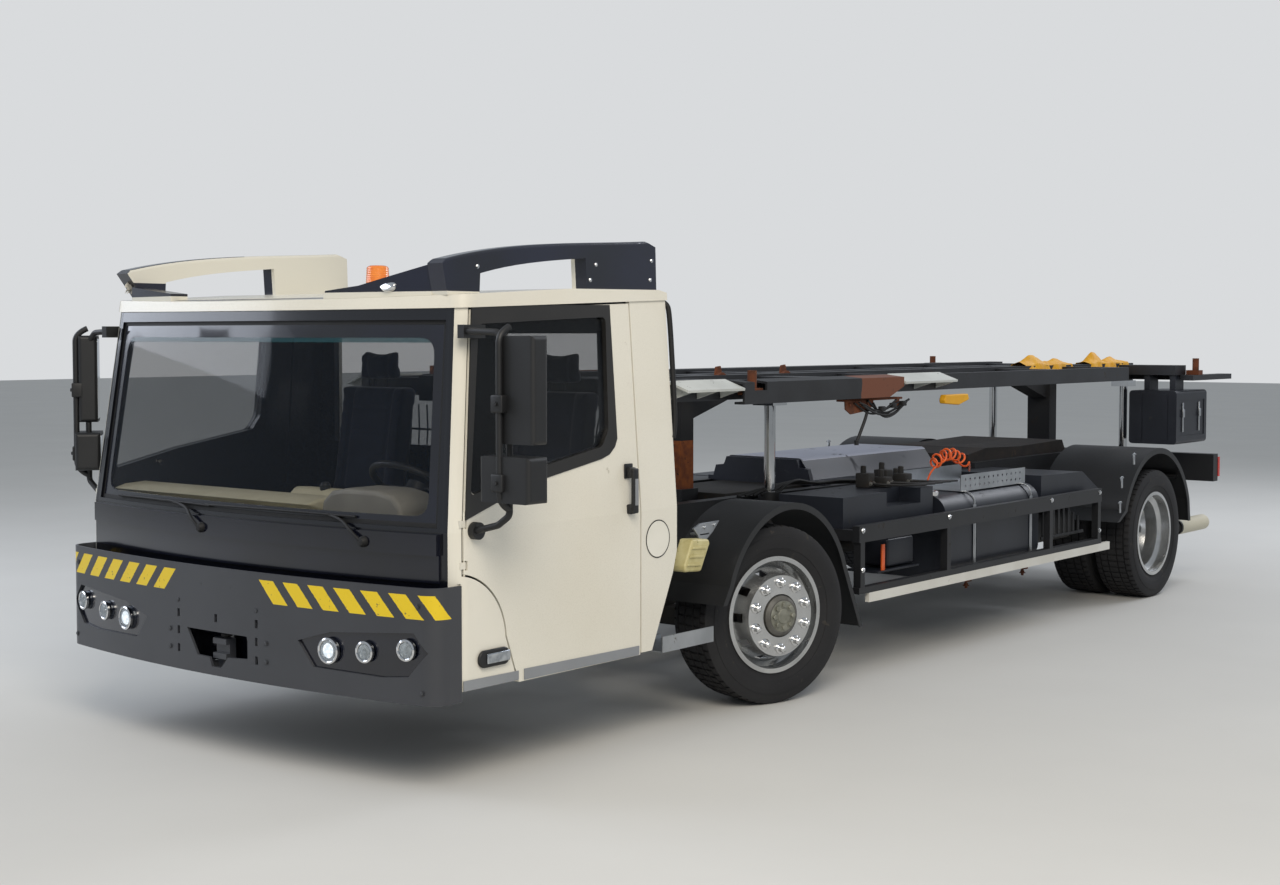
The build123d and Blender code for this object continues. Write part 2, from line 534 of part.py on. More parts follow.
def build_lift_frame():
    """The ladder frame that carries a swap body: long beams, cross pieces and two guide masts."""
    top = LIFT_TOP - LIFT_PLATE_DROP
    under = LIFT_TOP - LIFT_BEAM_DEPTH
    cross_low = LIFT_TOP - LIFT_CROSS_DEPTH
    half = LIFT_BEAM_WIDTH / 2
    beam = block(LIFT_BEAM_X - half, LIFT_BEAM_X + half, LIFT_FRONT, LIFT_REAR, under, LIFT_TOP)
    edge_in = GUIDE_IN_X - LIFT_EDGE_WIDTH
    edge = block(edge_in, GUIDE_IN_X, LIFT_FRONT, SIDE_BEAM_REAR, LIFT_TOP - LIFT_EDGE_DEPTH, top)
    first, last = LIFT_CROSSES[0], LIFT_CROSSES[-1]
    spine = block(-LIFT_SPINE_HALF, LIFT_SPINE_HALF,
                  first[0] - first[1] / 2, last[0] + last[1] / 2, cross_low, top)
    crosses = []
    for y, wide in LIFT_CROSSES:
        y0, y1 = y - wide / 2, y + wide / 2
        crosses += both(block(LIFT_SPINE_HALF + FACE_GAP, LIFT_BEAM_X - half - FACE_GAP,
                              y0, y1, cross_low, top))
        out_end = GUIDE_IN_X if y0 > SIDE_BEAM_REAR else edge_in - FACE_GAP
        crosses += both(block(LIFT_BEAM_X + half + FACE_GAP, out_end, y0, y1, cross_low, top))
    arm_z = (LIFT_TOP - LIFT_ARM_LOW, LIFT_TOP - LIFT_ARM_TOP)
    arm_in = LOCK_X - LIFT_ARM_HALF
    arm = block(arm_in, LOCK_X + LIFT_ARM_HALF, LIFT_REAR - 200, LIFT_ARM_REAR, *arm_z)
    beam_out = LIFT_BEAM_X + half + FACE_GAP
    tie = block(beam_out, arm_in - FACE_GAP, last[0] + last[1] / 2 + FACE_GAP, LIFT_REAR - 40, *arm_z)
    node("lift_frame", both(beam), both(edge), spine, crosses, both(arm), both(tie))
    masts = []
    for y, sign in ((MAST_FRONT_Y, 1), (MAST_REAR_Y, -1)):
        masts.append(block(-MAST_X / 2, MAST_X / 2, y - MAST_Y / 2, y + MAST_Y / 2,
                           MAST_LOW, cross_low - FACE_GAP))
        edge_y = y + sign * (MAST_Y / 2 + FACE_GAP)
        seat = cross_low - FACE_GAP
        masts.append(side_prism([(edge_y, seat), (edge_y + sign * 560, seat),
                                 (edge_y + sign * 560, seat - 30),
                                 (edge_y, seat - 190)], -MAST_X / 2 + 24, MAST_X / 2 - 24))
    node("lift_masts", *masts)
    inner_x = GUIDE_IN_X + FACE_GAP
    plates = []
    for y0, y1 in GUIDE_SPANS:
        plate = front_prism([
            (inner_x, LIFT_TOP - 2), (inner_x, LIFT_TOP - 14), (GUIDE_OUT_X - 3, LIFT_TOP - GUIDE_DROP - 12),
            (GUIDE_OUT_X, LIFT_TOP - GUIDE_DROP),
        ], y0, y1)
        rib_y = [y0 + 30, (y0 + y1) / 2, y1 - 42]
        ribs = [front_prism([(inner_x, LIFT_TOP - 13), (inner_x, LIFT_TOP - 95),
                             (GUIDE_OUT_X - 12, LIFT_TOP - GUIDE_DROP - 13)], y, y + 12) for y in rib_y]
        plates += both(plate + ribs)
    node("guide_plates", plates)
    skirt_in, skirt_out, skirt_low = GUIDE_OUT_X - 22, GUIDE_OUT_X - 10, LIFT_TOP - 128
    lip = skirt_in - 50
    skirt = front_prism([
        (inner_x, LIFT_TOP - 6), (inner_x, LIFT_TOP - 18),
        (skirt_in, LIFT_TOP - 28), (skirt_in, skirt_low + 12),
        (lip, skirt_low + 12), (lip, skirt_low), (skirt_out, skirt_low), (skirt_out, LIFT_TOP - 18),
    ], SKIRT_FRONT, SKIRT_REAR)
    mitre = [(SKIRT_REAR + 1, skirt_low - 1), (SKIRT_REAR - 160, skirt_low - 1),
             (SKIRT_REAR + 1, skirt_low + 58)]
    skirt -= side_prism(mitre, inner_x + 40, GUIDE_OUT_X + 5)
    skirt -= block(LOCK_X - 45, GUIDE_OUT_X, LOCK_FRONT_Y - 55, LOCK_FRONT_Y + 55,
                   LIFT_TOP - 60, LIFT_TOP + 10)
    node("side_skirts", both(skirt))
    locks = []
    seat = LIFT_TOP - LIFT_ARM_TOP + FACE_GAP
    for y in (LOCK_FRONT_Y, LOCK_REAR_Y):
        locks += both(rod_z(24, LOCK_X, y, seat, LIFT_TOP + 40)
                      + block(GUIDE_IN_X + FACE_GAP, LOCK_X + 40, y - 40, y + 40, seat, seat + 35))
    node("twist_locks", locks)
    box_low = LIFT_TOP - REAR_BOX_DROP
    box_top = box_low + REAR_BOX_HEIGHT
    y0, y1 = REAR_BOX_Y
    shell = block(*REAR_BOX_X, y0, y1, box_low, box_top)
    shell = fillet(shell.edges().filter_by(Axis.Y), 26)
    shell -= block(REAR_BOX_X[1] - 6, REAR_BOX_X[1] + 5, y0 + 45, y1 - 45, box_low + 60, box_top - 70)
    straps = [block(x - 22, x + 22, y0 - 6, y0 + 1, box_low + 30, box_top - 28) for x in HANGER_X]
    cross_y, cross_wide = LIFT_CROSSES[-1]
    hangers = [block(x - 22, x + 22,
                     cross_y - cross_wide / 2 + 20, cross_y + cross_wide / 2 - 20, box_top - 20,
                     cross_low - FACE_GAP) for x in HANGER_X]
    node("rear_box", shell + straps + hangers)


# The cab's form
def lean(z):
    """How far the cab has leaned in at height z, from 0 at the belt to 1 at the roof."""
    return max(0, (z - BELT_Z) / (ROOF_UNDER_REAR - BELT_Z))


def plan_section(z, inset):
    """The cab's plan outline at height z, its walls moved in by inset."""
    share = lean(z)
    half = HALF_WIDTH + (ROOF_SIDE_X - HALF_WIDTH) * share - inset
    corner_y = CAB_CORNER_Y + CAB_FRONT_LEAN * share + inset
    front_y = CAB_CORNER_Y + CAB_FRONT_LEAN * share - CAB_FRONT_BOW + inset
    cut = CAB_CORNER_R
    bulge = cut * (1 - sqrt(0.5))
    rear_y = CAB_REAR - inset
    edges = [ThreePointArc((-half + cut, corner_y), (0, front_y), (half - cut, corner_y))]
    for side in (1, -1):
        edges.append(ThreePointArc((side * (half - cut), corner_y), (side * (half - bulge), corner_y + bulge),
                                   (side * half, corner_y + cut)))
        edges.append(Line((side * half, corner_y + cut), (side * half, rear_y)))
    edges.append(Line((half, rear_y), (-half, rear_y)))
    return Pos(0, 0, z) * make_face(edges)


def cab_form(inset, low, high):
    """The cab's outer form, upright to the belt and leaning in above it."""
    lower = extrude(plan_section(low, inset), amount=BELT_Z - low)
    upper = loft([plan_section(BELT_Z, inset), plan_section(high, inset)], ruled=True)
    return lower + upper


def roof_line(y, front, rear):
    """Height of a roof line at y, rising from the windscreen to the cab's rear."""
    return line_z(y, ROOF_CORNER_Y, front, CAB_REAR, rear)


def roof_crown(gap):
    """The roof's top line in side view, from the rear to the front, raised by gap."""
    rear = CAB_REAR + ROOF_BRIM
    middle = (ROOF_CORNER_Y + CAB_REAR) / 2
    line = [(rear, ROOF_CROWN_REAR - 12), (rear - 60, ROOF_CROWN_REAR), (middle, ROOF_CROWN_REAR - 6),
            (ROOF_CORNER_Y, ROOF_CROWN_FRONT), (ROOF_CORNER_Y - 300, ROOF_CROWN_FRONT - 40)]
    return [(y, z + gap) for y, z in line]


def on_roof(shape):
    """What of a shape lies above the roof's top, clear of it by the gap between faces."""
    line = roof_crown(FACE_GAP)
    below = [(CAB_REAR + 400, line[0][1])] + line + [(line[-1][0], 0), (CAB_REAR + 400, 0)]
    return shape - side_prism(below, -HALF_WIDTH - 50, HALF_WIDTH + 50)


def under_roof(shape, gap):
    """What of a shape lies below the roof's underside."""
    far = ROOF_CORNER_Y - 300
    cut = side_prism([(far, roof_line(far, ROOF_UNDER_FRONT, ROOF_UNDER_REAR) - gap),
                      (CAB_REAR + 100, roof_line(CAB_REAR + 100, ROOF_UNDER_FRONT, ROOF_UNDER_REAR) - gap),
                      (CAB_REAR + 100, 0), (far, 0)], -HALF_WIDTH - 50, HALF_WIDTH + 50)
    return shape & cut


def door_front(z):
    """Where the door's front edge lies at height z."""
    return DOOR_FRONT + CAB_FRONT_LEAN * lean(z)


def door_face(grow):
    """The door's outline in side view, moved out by grow, on the YZ plane."""
    corners = [(DOOR_CUT_LOW[0], DOOR_CUT_LOW[1]), (DOOR_CUT_FOOT, DOOR_BOTTOM), (DOOR_REAR, DOOR_BOTTOM),
               (DOOR_REAR, LOFT_TOP), (door_front(LOFT_TOP), LOFT_TOP), (DOOR_FRONT, BELT_Z),
               (DOOR_FRONT, DOOR_CUT_TOP)]
    cut = ThreePointArc((DOOR_FRONT, DOOR_CUT_TOP), DOOR_CUT_MID, DOOR_CUT_LOW)
    face = make_face(list(Polyline(*corners).edges()) + [cut])
    return offset(face, grow, kind=Kind.INTERSECTION) if grow else face


def window_hole(margin):
    """The side window's rounded outline, moved in by margin, carried through the door."""
    top_front = door_front(WINDOW_FRONT_TOP) + WINDOW_POST
    corners = [
        (DOOR_FRONT + WINDOW_POST, WINDOW_FRONT_LOW), (top_front, WINDOW_FRONT_TOP),
        (WINDOW_REAR, WINDOW_REAR_TOP),
        (WINDOW_REAR - 25, WINDOW_REAR_LOW + WINDOW_SHOULDER), (WINDOW_REAR - 75, WINDOW_REAR_LOW),
        (WINDOW_DIP_Y, WINDOW_DIP_Z),
    ]
    face = fillet(make_face(Polyline(*corners, close=True)).vertices(), WINDOW_ROUND)
    face = offset(face, -margin) if margin else face
    return extrude(Plane.YZ.offset(900) * face, amount=HALF_WIDTH + 50 - 900)


def build_cab():
    """The cab's panels, split where the real ones meet, with the doors left open for their joints."""
    outer = cab_form(0, CAB_FLOOR_BOTTOM, LOFT_TOP)
    inner = cab_form(CAB_WALL, CAB_FLOOR_BOTTOM - 10, LOFT_TOP + 10)
    shell = under_roof(outer - inner, FACE_GAP)
    wide = HALF_WIDTH + 50

    door_room = extrude(Plane.YZ.offset(-wide) * door_face(DOOR_GAP), amount=2 * wide)
    front = shell & block(-wide, wide, -3000, DOOR_CUT_FOOT, CAB_FLOOR_BOTTOM, LOFT_TOP)
    front = front - door_room
    screen_hole = front_prism([(-SCREEN_LOW_X, SCREEN_LOW), (-SCREEN_TOP_X, SCREEN_TOP),
                               (SCREEN_TOP_X, SCREEN_TOP),
                               (SCREEN_LOW_X, SCREEN_LOW)], -3000, CAB_CORNER_Y + 300)
    behind_bumper = [block(side * wide if side < 0 else HALF_WIDTH - BUMPER_PLATE - 6,
                           HALF_WIDTH * side + BUMPER_PLATE + 6 if side < 0 else wide,
                           -3000, BUMPER_SIDE_END + 4, CAB_FLOOR_BOTTOM - 1, BUMPER_TOP + 6)
                     for side in (1, -1)]
    lugs = []
    for z in HINGE_HEIGHTS:
        axis_x, axis_y = HALF_WIDTH - HINGE_INSET - 2, DOOR_FRONT + HINGE_INSET
        lug = block(axis_x - 10, axis_x + 5, DOOR_FRONT - DOOR_GAP - 8, axis_y + 5, z - 14, z + 14)
        lugs.append(lug + rod_z(HINGE_PIN_R, axis_x, axis_y, z - 44, z + 44))
    lugs += [other_side(lug) for lug in lugs]
    node("cab_front", front - screen_hole - behind_bumper + lugs)
    glass_form = cab_form(12, CAB_FLOOR_BOTTOM, LOFT_TOP) - cab_form(20, CAB_FLOOR_BOTTOM - 5, LOFT_TOP + 5)
    inset = FACE_GAP
    pane = front_prism([(-SCREEN_LOW_X + inset, SCREEN_LOW + inset),
                        (-SCREEN_TOP_X + inset, SCREEN_TOP - inset),
                        (SCREEN_TOP_X - inset, SCREEN_TOP - inset),
                        (SCREEN_LOW_X - inset, SCREEN_LOW + inset)],
                       -3000, CAB_CORNER_Y + 300)
    node("windscreen", glass_form & pane)
    under = cab_form(-FACE_GAP, CAB_FLOOR_BOTTOM - 5, LOFT_TOP + 5)
    bands = []
    for z0, z1, proud in ((FASCIA_LOW, FASCIA_STEP, FASCIA_PLATE), (FASCIA_STEP, FASCIA_TOP, FASCIA_LIP)):
        strip = block(-FASCIA_HALF, FASCIA_HALF, -3000, CAB_CORNER_Y + 60, z0, z1)
        bands.append((cab_form(-proud, CAB_FLOOR_BOTTOM, LOFT_TOP) - under) & strip)
    node("fascia", bands[0] + bands[1])

    rear = shell & block(-wide, wide, DOOR_REAR + DOOR_GAP, 0, CAB_FLOOR_BOTTOM, LOFT_TOP)
    step_top, step_low = CAB_BACK_STEP
    foot_y = CAB_REAR - CAB_BACK_SLOPE
    rear -= side_prism([(CAB_REAR + 20, step_top), (CAB_REAR, step_top), (CAB_REAR - 30, step_low),
                        (foot_y, CAB_FLOOR_BOTTOM - 5), (CAB_REAR + 20, CAB_FLOOR_BOTTOM - 20)], -wide, wide)
    low_wall = side_prism([(CAB_REAR, step_top), (CAB_REAR - 30, step_low), (foot_y, CAB_FLOOR_BOTTOM),
                           (foot_y - CAB_WALL, CAB_FLOOR_BOTTOM), (CAB_REAR - 30 - CAB_WALL, step_low),
                           (CAB_REAR - CAB_WALL, step_top)], -HALF_WIDTH + 2, HALF_WIDTH - 2)
    rear += low_wall
    holes = []
    for x0, x1 in REAR_WINDOWS:
        holes.append(block(x0, x1, CAB_REAR - CAB_WALL - 5, CAB_REAR + 5, REAR_WINDOW_LOW, REAR_WINDOW_TOP))
    node("cab_rear", rear - holes)
    panes = [block(x0 + FACE_GAP, x1 - FACE_GAP, CAB_REAR - 30, CAB_REAR - 24, REAR_WINDOW_LOW + FACE_GAP,
                   REAR_WINDOW_TOP - FACE_GAP) for x0, x1 in REAR_WINDOWS]
    node("rear_windows", *panes)

    brim = cab_form(-ROOF_BRIM, CAB_FLOOR_BOTTOM, LOFT_TOP + 30)
    crown = roof_crown(0)
    y0, y1 = crown[-1][0], crown[0][0]
    band = side_prism([(y0, roof_line(y0, ROOF_UNDER_FRONT, ROOF_UNDER_REAR)),
                       (y1, roof_line(y1, ROOF_UNDER_FRONT, ROOF_UNDER_REAR))] + crown, -wide, wide)
    node("cab_roof", brim & band)

    floor_rear = foot_y - CAB_WALL - FACE_GAP
    slab = block(-wide, wide, -3000, floor_rear, CAB_FLOOR_BOTTOM, CAB_FLOOR_TOP)
    node("cab_floor", cab_form(CAB_WALL + FACE_GAP, CAB_FLOOR_BOTTOM, LOFT_TOP) & slab)


def build_doors():
    """Front-hinged doors with their window frames, glass, handles and mirrors."""
    shell = under_roof(cab_form(0, DOOR_BOTTOM, LOFT_TOP)
                       - cab_form(DOOR_THICK, DOOR_BOTTOM - 5, LOFT_TOP + 5),
                       DOOR_GAP)
    leaf = extrude(Plane.YZ.offset(900) * door_face(0), amount=HALF_WIDTH)
    hole = window_hole(0)
    door = (shell & leaf) - hole
    axis_x, axis_y = HALF_WIDTH - HINGE_INSET - 2, DOOR_FRONT + HINGE_INSET
    for z in HINGE_HEIGHTS:
        door -= block(axis_x - 18, HALF_WIDTH + 20, DOOR_FRONT - 20, axis_y + 12, z - 20, z + 20)
        door -= rod_z(HINGE_PIN_R + 0.05, axis_x, axis_y, z - 50, z + 50)
    glass = cab_form(14, DOOR_BOTTOM, LOFT_TOP) - cab_form(19, DOOR_BOTTOM - 5, LOFT_TOP + 5)
    glass = glass & window_hole(FACE_GAP)
    low, high = HANDLE_HEIGHTS
    grip_x = HALF_WIDTH + HANDLE_OUT
    handle = block(grip_x - 14, grip_x, HANDLE_Y - 14, HANDLE_Y + 14, low, high)
    posts = [block(HALF_WIDTH - 30, grip_x - 13, HANDLE_Y - 14, HANDLE_Y + 14, z, z + 24)
             for z in (low, high - 24)]
    door = door + handle + posts
    for side, name in ((1, "left"), (-1, "right")):
        node("door_" + name, door if side > 0 else other_side(door))
        node("door_glass_" + name, glass if side > 0 else other_side(glass))
    node("mirrors_left", mirror_arm(MIRROR_TUBE_X, 0))
    node("mirrors_right", other_side(mirror_arm(MIRROR_TUBE_X - FAR_ARM_SHORT, FAR_MIRROR_TURN)))


def mirror_arm(tube_x, turn):
    """A left door's bent tube with its two housings, turned about the tube to face the driver."""
    main = block(tube_x - 30, tube_x + 170, MIRROR_Y - 45, MIRROR_Y + 45, 1440, 1870)
    main = fillet(main.edges().filter_by(Axis.Z) + main.edges().filter_by(Axis.Y), 18)
    wide = block(tube_x - 110, tube_x + 158, MIRROR_Y - 60, MIRROR_Y + 60, 1205, 1390)
    wide = fillet(wide.edges().filter_by(Axis.Z) + wide.edges().filter_by(Axis.Y), 18)
    post = Pos(tube_x, MIRROR_Y, 0)
    housings = post * Rot(0, 0, turn) * post.inverse() * (main + wide)
    path = FilletPolyline((1214, MIRROR_Y, MIRROR_TOP_Z), (tube_x - 62, MIRROR_Y, MIRROR_TOP_Z - 6),
                          (tube_x, MIRROR_Y, 1830), (tube_x, MIRROR_Y, 1150),
                          (tube_x - 62, MIRROR_Y, 1108),
                          (HALF_WIDTH + 20, MIRROR_Y, MIRROR_FOOT_Z),
                          radius=MIRROR_BEND)
    tube = sweep(Plane(origin=path @ 0, z_dir=path % 0) * Circle(MIRROR_TUBE_R), path)
    near_y = door_front(MIRROR_TOP_Z)
    pad_z = (MIRROR_TOP_Z - 30, MIRROR_TOP_Z + 25)
    clamp = block(1196, 1232, MIRROR_Y - 20, near_y + 46, *pad_z) - cab_form(-6, CAB_FLOOR_BOTTOM, LOFT_TOP)
    clamp += (block(1150, 1232, near_y + 14, near_y + 46, *pad_z)
              - cab_form(-FACE_GAP, CAB_FLOOR_BOTTOM, LOFT_TOP))
    foot = rod_x(36, HALF_WIDTH + FACE_GAP, HALF_WIDTH + 32, MIRROR_FOOT_Y, MIRROR_FOOT_Z)
    return tube + housings + clamp + foot


# Bumper, lamps and towing jaw


def bumper_plan(inset):
    """The bumper's outline in plan, moved in by inset, open shapes being cut from it later."""
    radius = BUMPER_R - inset
    half = HALF_WIDTH - inset
    front_y = BUMPER_FRONT + inset
    end_y = front_y + radius - sqrt(radius * radius - half * half)
    front = ThreePointArc((-half, end_y), (0, front_y), (half, end_y))
    rest = Polyline((half, end_y), (half, BUMPER_SIDE_END + 100),
                    (-half, BUMPER_SIDE_END + 100), (-half, end_y))
    face = make_face([front] + list(rest.edges()))
    corners = face.vertices().filter_by_position(Axis.Y, BUMPER_FRONT - 1, BUMPER_SIDE_END)
    return fillet(corners, BUMPER_CORNER_R - inset)


def build_bumper():
    """A bowed steel plate that wraps round the cab's corners."""
    height = BUMPER_TOP - BUMPER_BOTTOM
    plate = extrude(bumper_plan(0), amount=height) - extrude(bumper_plan(BUMPER_PLATE), amount=height)
    plate = Pos(0, 0, BUMPER_BOTTOM) * plate
    plate -= block(-1400, 1400, BUMPER_SIDE_END, BUMPER_SIDE_END + 200, 0, 1000)
    near = front_prism(LAMP_PANEL, BUMPER_FRONT - 50, BUMPER_SIDE_END - 20)
    tow = front_prism(TOW_HOLE, BUMPER_FRONT - 50, BUMPER_FRONT + 60)
    slots = [block(x - 9, x + 9, BUMPER_FRONT - 50, BUMPER_FRONT + 60, z - 18, z + 18)
             for x in (-SLOT_X, SLOT_X) for z in SLOT_HEIGHTS]
    slots.append(block(-9, 9, BUMPER_FRONT - 50, BUMPER_FRONT + 60, 614, 650))
    stays = [block(x - 40, x + 40,
                   BUMPER_FRONT + BUMPER_PLATE + 12, CAB_RAIL_FRONT - FACE_GAP, BUMPER_BOTTOM + 6,
                   CAB_RAIL_TOP) for x in (-RAIL_X, RAIL_X)]
    jaw_y = BUMPER_FRONT + 20
    jaw = (block(-45, 45, jaw_y, CAB_RAIL_FRONT - FACE_GAP, 450, 540)
           - block(-60, 60, jaw_y - 5, jaw_y + 20, 475, 515))
    jaw += block(-45, 45, CAB_RAIL_FRONT - 25, CAB_RAIL_FRONT - FACE_GAP, CAB_RAIL_BOTTOM + 5, 470)
    node("front_bumper", plate - near - other_side(near) - tow - slots + stays, jaw)

    inner = Pos(0, 0, BUMPER_BOTTOM) * (extrude(bumper_plan(BUMPER_PLATE + FACE_GAP), amount=height)
                                        - extrude(bumper_plan(BUMPER_PLATE + 6), amount=height))
    middle_x, middle_z = LAMP_X[1], LAMP_Z[1]
    flange = [(x + (LAMP_FLANGE if x > middle_x else -LAMP_FLANGE),
               z + (LAMP_FLANGE if z > middle_z else -LAMP_FLANGE))
              for x, z in LAMP_PANEL]
    panel = inner & front_prism(flange, BUMPER_FRONT - 50, BUMPER_SIDE_END - 20)
    lamps = []
    for x, z, r in zip(LAMP_X, LAMP_Z, LAMP_R):
        y = BUMPER_FRONT + BUMPER_R - sqrt(BUMPER_R ** 2 - x ** 2)
        lamps.append(rod_y(r, x, y - 4, y + BUMPER_PLATE + 1, z))
    room = [rod_y(r + FACE_GAP, x, BUMPER_FRONT - 20, BUMPER_SIDE_END, z)
            for x, z, r in zip(LAMP_X, LAMP_Z, LAMP_R)]
    node("lamp_panels", both(panel - room))
    node("headlamps", *[both(lamp) for lamp in lamps])


def arch(middle_y, radius, tail, x0, x1, plate):
    """A mudguard: a bent sheet round a wheel, tail being its straight ends (y, z, y, z)."""
    y0, z0, y1, z1 = tail
    lean_in = radians(20)
    arcs = []
    for r in (radius, radius - plate):
        ends = [(middle_y + s * r * cos(lean_in), TYRE_R + r * sin(lean_in)) for s in (-1, 1)]
        arcs.append(ThreePointArc(ends[0], (middle_y, TYRE_R + r), ends[1]))
    outer, inner = arcs
    front = Polyline(outer @ 0, (y0, z0), (y0 + plate, z0), inner @ 0)
    rear = Polyline(outer @ 1, (y1, z1), (y1 - plate, z1), inner @ 1)
    face = make_face([outer, inner] + list(front.edges()) + list(rear.edges()))
    return extrude(Plane.YZ.offset(x0) * face, amount=x1 - x0)


def fender_stays(middle_y, under_r, reaches, out_x):
    """Round stays from the rail's web out under a mudguard's sheet."""
    radius = 16
    from_axle = under_r - radius - FACE_GAP
    inner = RAIL_OUT_X + FACE_GAP
    return [rod_x(radius, inner, out_x, middle_y + y, TYRE_R + sqrt(from_axle ** 2 - y ** 2))
            for y in reaches]


def build_fenders():
    """Mudguards of bent sheet over all wheels."""
    out_x = HALF_WIDTH + 12
    tail = (-585, 560, 700, 300)
    front = arch(0, FRONT_FENDER_R, tail, 890, out_x, FENDER_SHEET)
    front += arch(0, FRONT_FENDER_R, tail, out_x - FENDER_SHEET, out_x, 34)
    stays = fender_stays(0, FRONT_FENDER_R - FENDER_SHEET, (-430, 430), 945)
    node("fenders_front", both(front), *[both(stay) for stay in stays])
    out_x = HALF_WIDTH + 6
    tail = (WHEELBASE - 700, 590, WHEELBASE + 600, 500)
    rear = arch(WHEELBASE, REAR_FENDER_R, tail, 610, out_x, FENDER_SHEET)
    rear += arch(WHEELBASE, REAR_FENDER_R, tail, out_x - FENDER_SHEET, out_x, 40)
    stays = fender_stays(WHEELBASE, REAR_FENDER_R - FENDER_SHEET, (-450, 450), 1200)
    node("fenders_rear", both(rear), *[both(stay) for stay in stays])


def rounded_tube(x0, x1, y0, y1, z0, z1, radius):
    """A box along Y with its four long edges rounded."""
    shape = block(x0, x1, y0, y1, z0, z1)
    return fillet(shape.edges().filter_by(Axis.Y), radius)


def build_sides():
    """The side guards, tanks, boxes and treads between the axles."""
    x1 = SIDE_OUT_X
    x0 = x1 - SIDE_TUBE
    top = block(x0, x1, SIDE_FRONT, SIDE_REAR, 750, 840)
    low = block(x0, x1, SIDE_FRONT, SIDE_REAR, 470, 505)
    posts = [block(x0, x1, y - POST_HALF, y + POST_HALF, 500, 760) for y in POST_PLACES]
    inner = RAIL_OUT_X + FACE_GAP
    arms = [block(inner, x0 + 1, y - POST_HALF, y + POST_HALF, 755, ARM_TOP) for y in POST_PLACES]
    node("side_frames", both(top + low + posts + arms))
    rail = block(HALF_WIDTH - 30, HALF_WIDTH - 4, SIDE_FRONT + 100, SIDE_REAR + 130, 418, 469.7)
    node("side_rails", both(rail))

    tank = rounded_tube(TANK_IN_X, TANK_OUT_X, TANK_FRONT, TANK_REAR, TANK_LOW, TANK_TOP, TANK_ROUND)
    neck = rod_y(38, TANK_OUT_X - 195, TANK_FRONT - 50, TANK_FRONT + 5, 800)
    bands = []
    for y in TANK_BANDS:
        over = STRAP_PLATE + FACE_GAP
        y0, y1 = y - BAND_HALF, y + BAND_HALF
        band = rounded_tube(TANK_IN_X - over, TANK_OUT_X + over, y0, y1, TANK_LOW - over, TANK_TOP + over,
                            TANK_ROUND + over)
        band -= rounded_tube(TANK_IN_X - FACE_GAP, TANK_OUT_X + FACE_GAP, y0 - 1, y1 + 1, TANK_LOW - FACE_GAP,
                             TANK_TOP + FACE_GAP, TANK_ROUND + FACE_GAP)
        bands.append(band + block(inner, TANK_IN_X - FACE_GAP - 1, y0, y1, 740, 800))
    node("side_tanks", both(tank + neck), *[both(band) for band in bands])

    clear = POST_HALF + FACE_GAP
    rear_box = side_prism([(BOX_FRONT, BOX_LOW), (BOX_FRONT, 965), (BOX_REAR - 280, 955), (BOX_REAR, 810),
                           (BOX_REAR, BOX_LOW)], inner, 1150)
    last_post = POST_PLACES[-1]
    rear_box -= block(inner - 1, 1151, last_post - clear, last_post + clear, BOX_LOW - 1, ARM_TOP + FACE_GAP)
    valve_box = block(700, 1120, SIDE_FRONT + 30, VALVE_BOX_REAR, ARM_TOP + FACE_GAP, 985)
    valve_box -= block(980, 1130, VALVE_BOX_REAR - 525, VALVE_BOX_REAR - 145, 900, 990)
    node("equipment_boxes", both(rear_box), both(valve_box))

    tray_low = TANK_TOP + STRAP_PLATE + 2 * FACE_GAP
    tray = block(TANK_IN_X, TRAY_OUT_X, TRAY_FRONT, TRAY_REAR, tray_low, tray_low + 100)
    tray -= block(TANK_IN_X + 4, TRAY_OUT_X - 4, TRAY_FRONT - 10, TRAY_REAR + 10,
                  tray_low + 4, tray_low + 101)
    pitch = 60
    holes = [rod_x(9, TRAY_OUT_X - 10, TRAY_OUT_X + 10, TRAY_FRONT + pitch * (i + 1), tray_low + 30 + 40 * j)
             for i in range(int((TRAY_REAR - TRAY_FRONT) / pitch) - 1) for j in range(2)]
    foot = block(1000, SIDE_OUT_X, STEP_FRONT, STEP_REAR, STEP_Z - 4, STEP_Z)
    foot += block(SIDE_OUT_X - 4, SIDE_OUT_X, STEP_FRONT, STEP_REAR, STEP_Z - 4, STEP_Z + 71)
    foot += block(RAIL_OUT_X + FACE_GAP, 1001, -780, -740, STEP_Z - 4, CAB_RAIL_TOP)
    node("steps", tray - holes, both(foot))


def build_engine():
    """The engine as one block between the rails, its long cover and the mats behind it."""
    seat = RAIL_TOP + FACE_GAP
    node("engine_block", block(-300, 300, ENGINE_FRONT, ENGINE_REAR, 470, RAIL_TOP))
    half = [(372, seat), (357, 1014), (344, 1056), (282, 1063), (263, 1112)]
    stepped = front_prism(half + [(-x, z) for x, z in reversed(half)], COVER_FRONT, COVER_FRONT + 36)
    shell = [(372, seat), (363, 990), (275, 1108), (255, 1118)]
    body = front_prism(shell + [(-x, z) for x, z in reversed(shell)], COVER_FRONT + 35, COVER_REAR)
    bridge = [block(-RAIL_X, RAIL_X, y - 30, y + 30, seat, RAIL_TOP + 25)
              for y in (COVER_FRONT + 80, COVER_REAR - 60)]
    node("engine_cover", stepped + body + bridge)
    rest = DECK_TOP + FACE_GAP
    mats = side_prism([(DECK_FRONT + 20, rest), (DECK_FRONT + 20, 1050),
                       (DECK_FRONT + 280, 1085), (DECK_FRONT + 780, 1072),
                       (DECK_REAR - 350, 1088), (DECK_REAR - 290, rest)], -400, 420)
    node("deck_mats", mats)


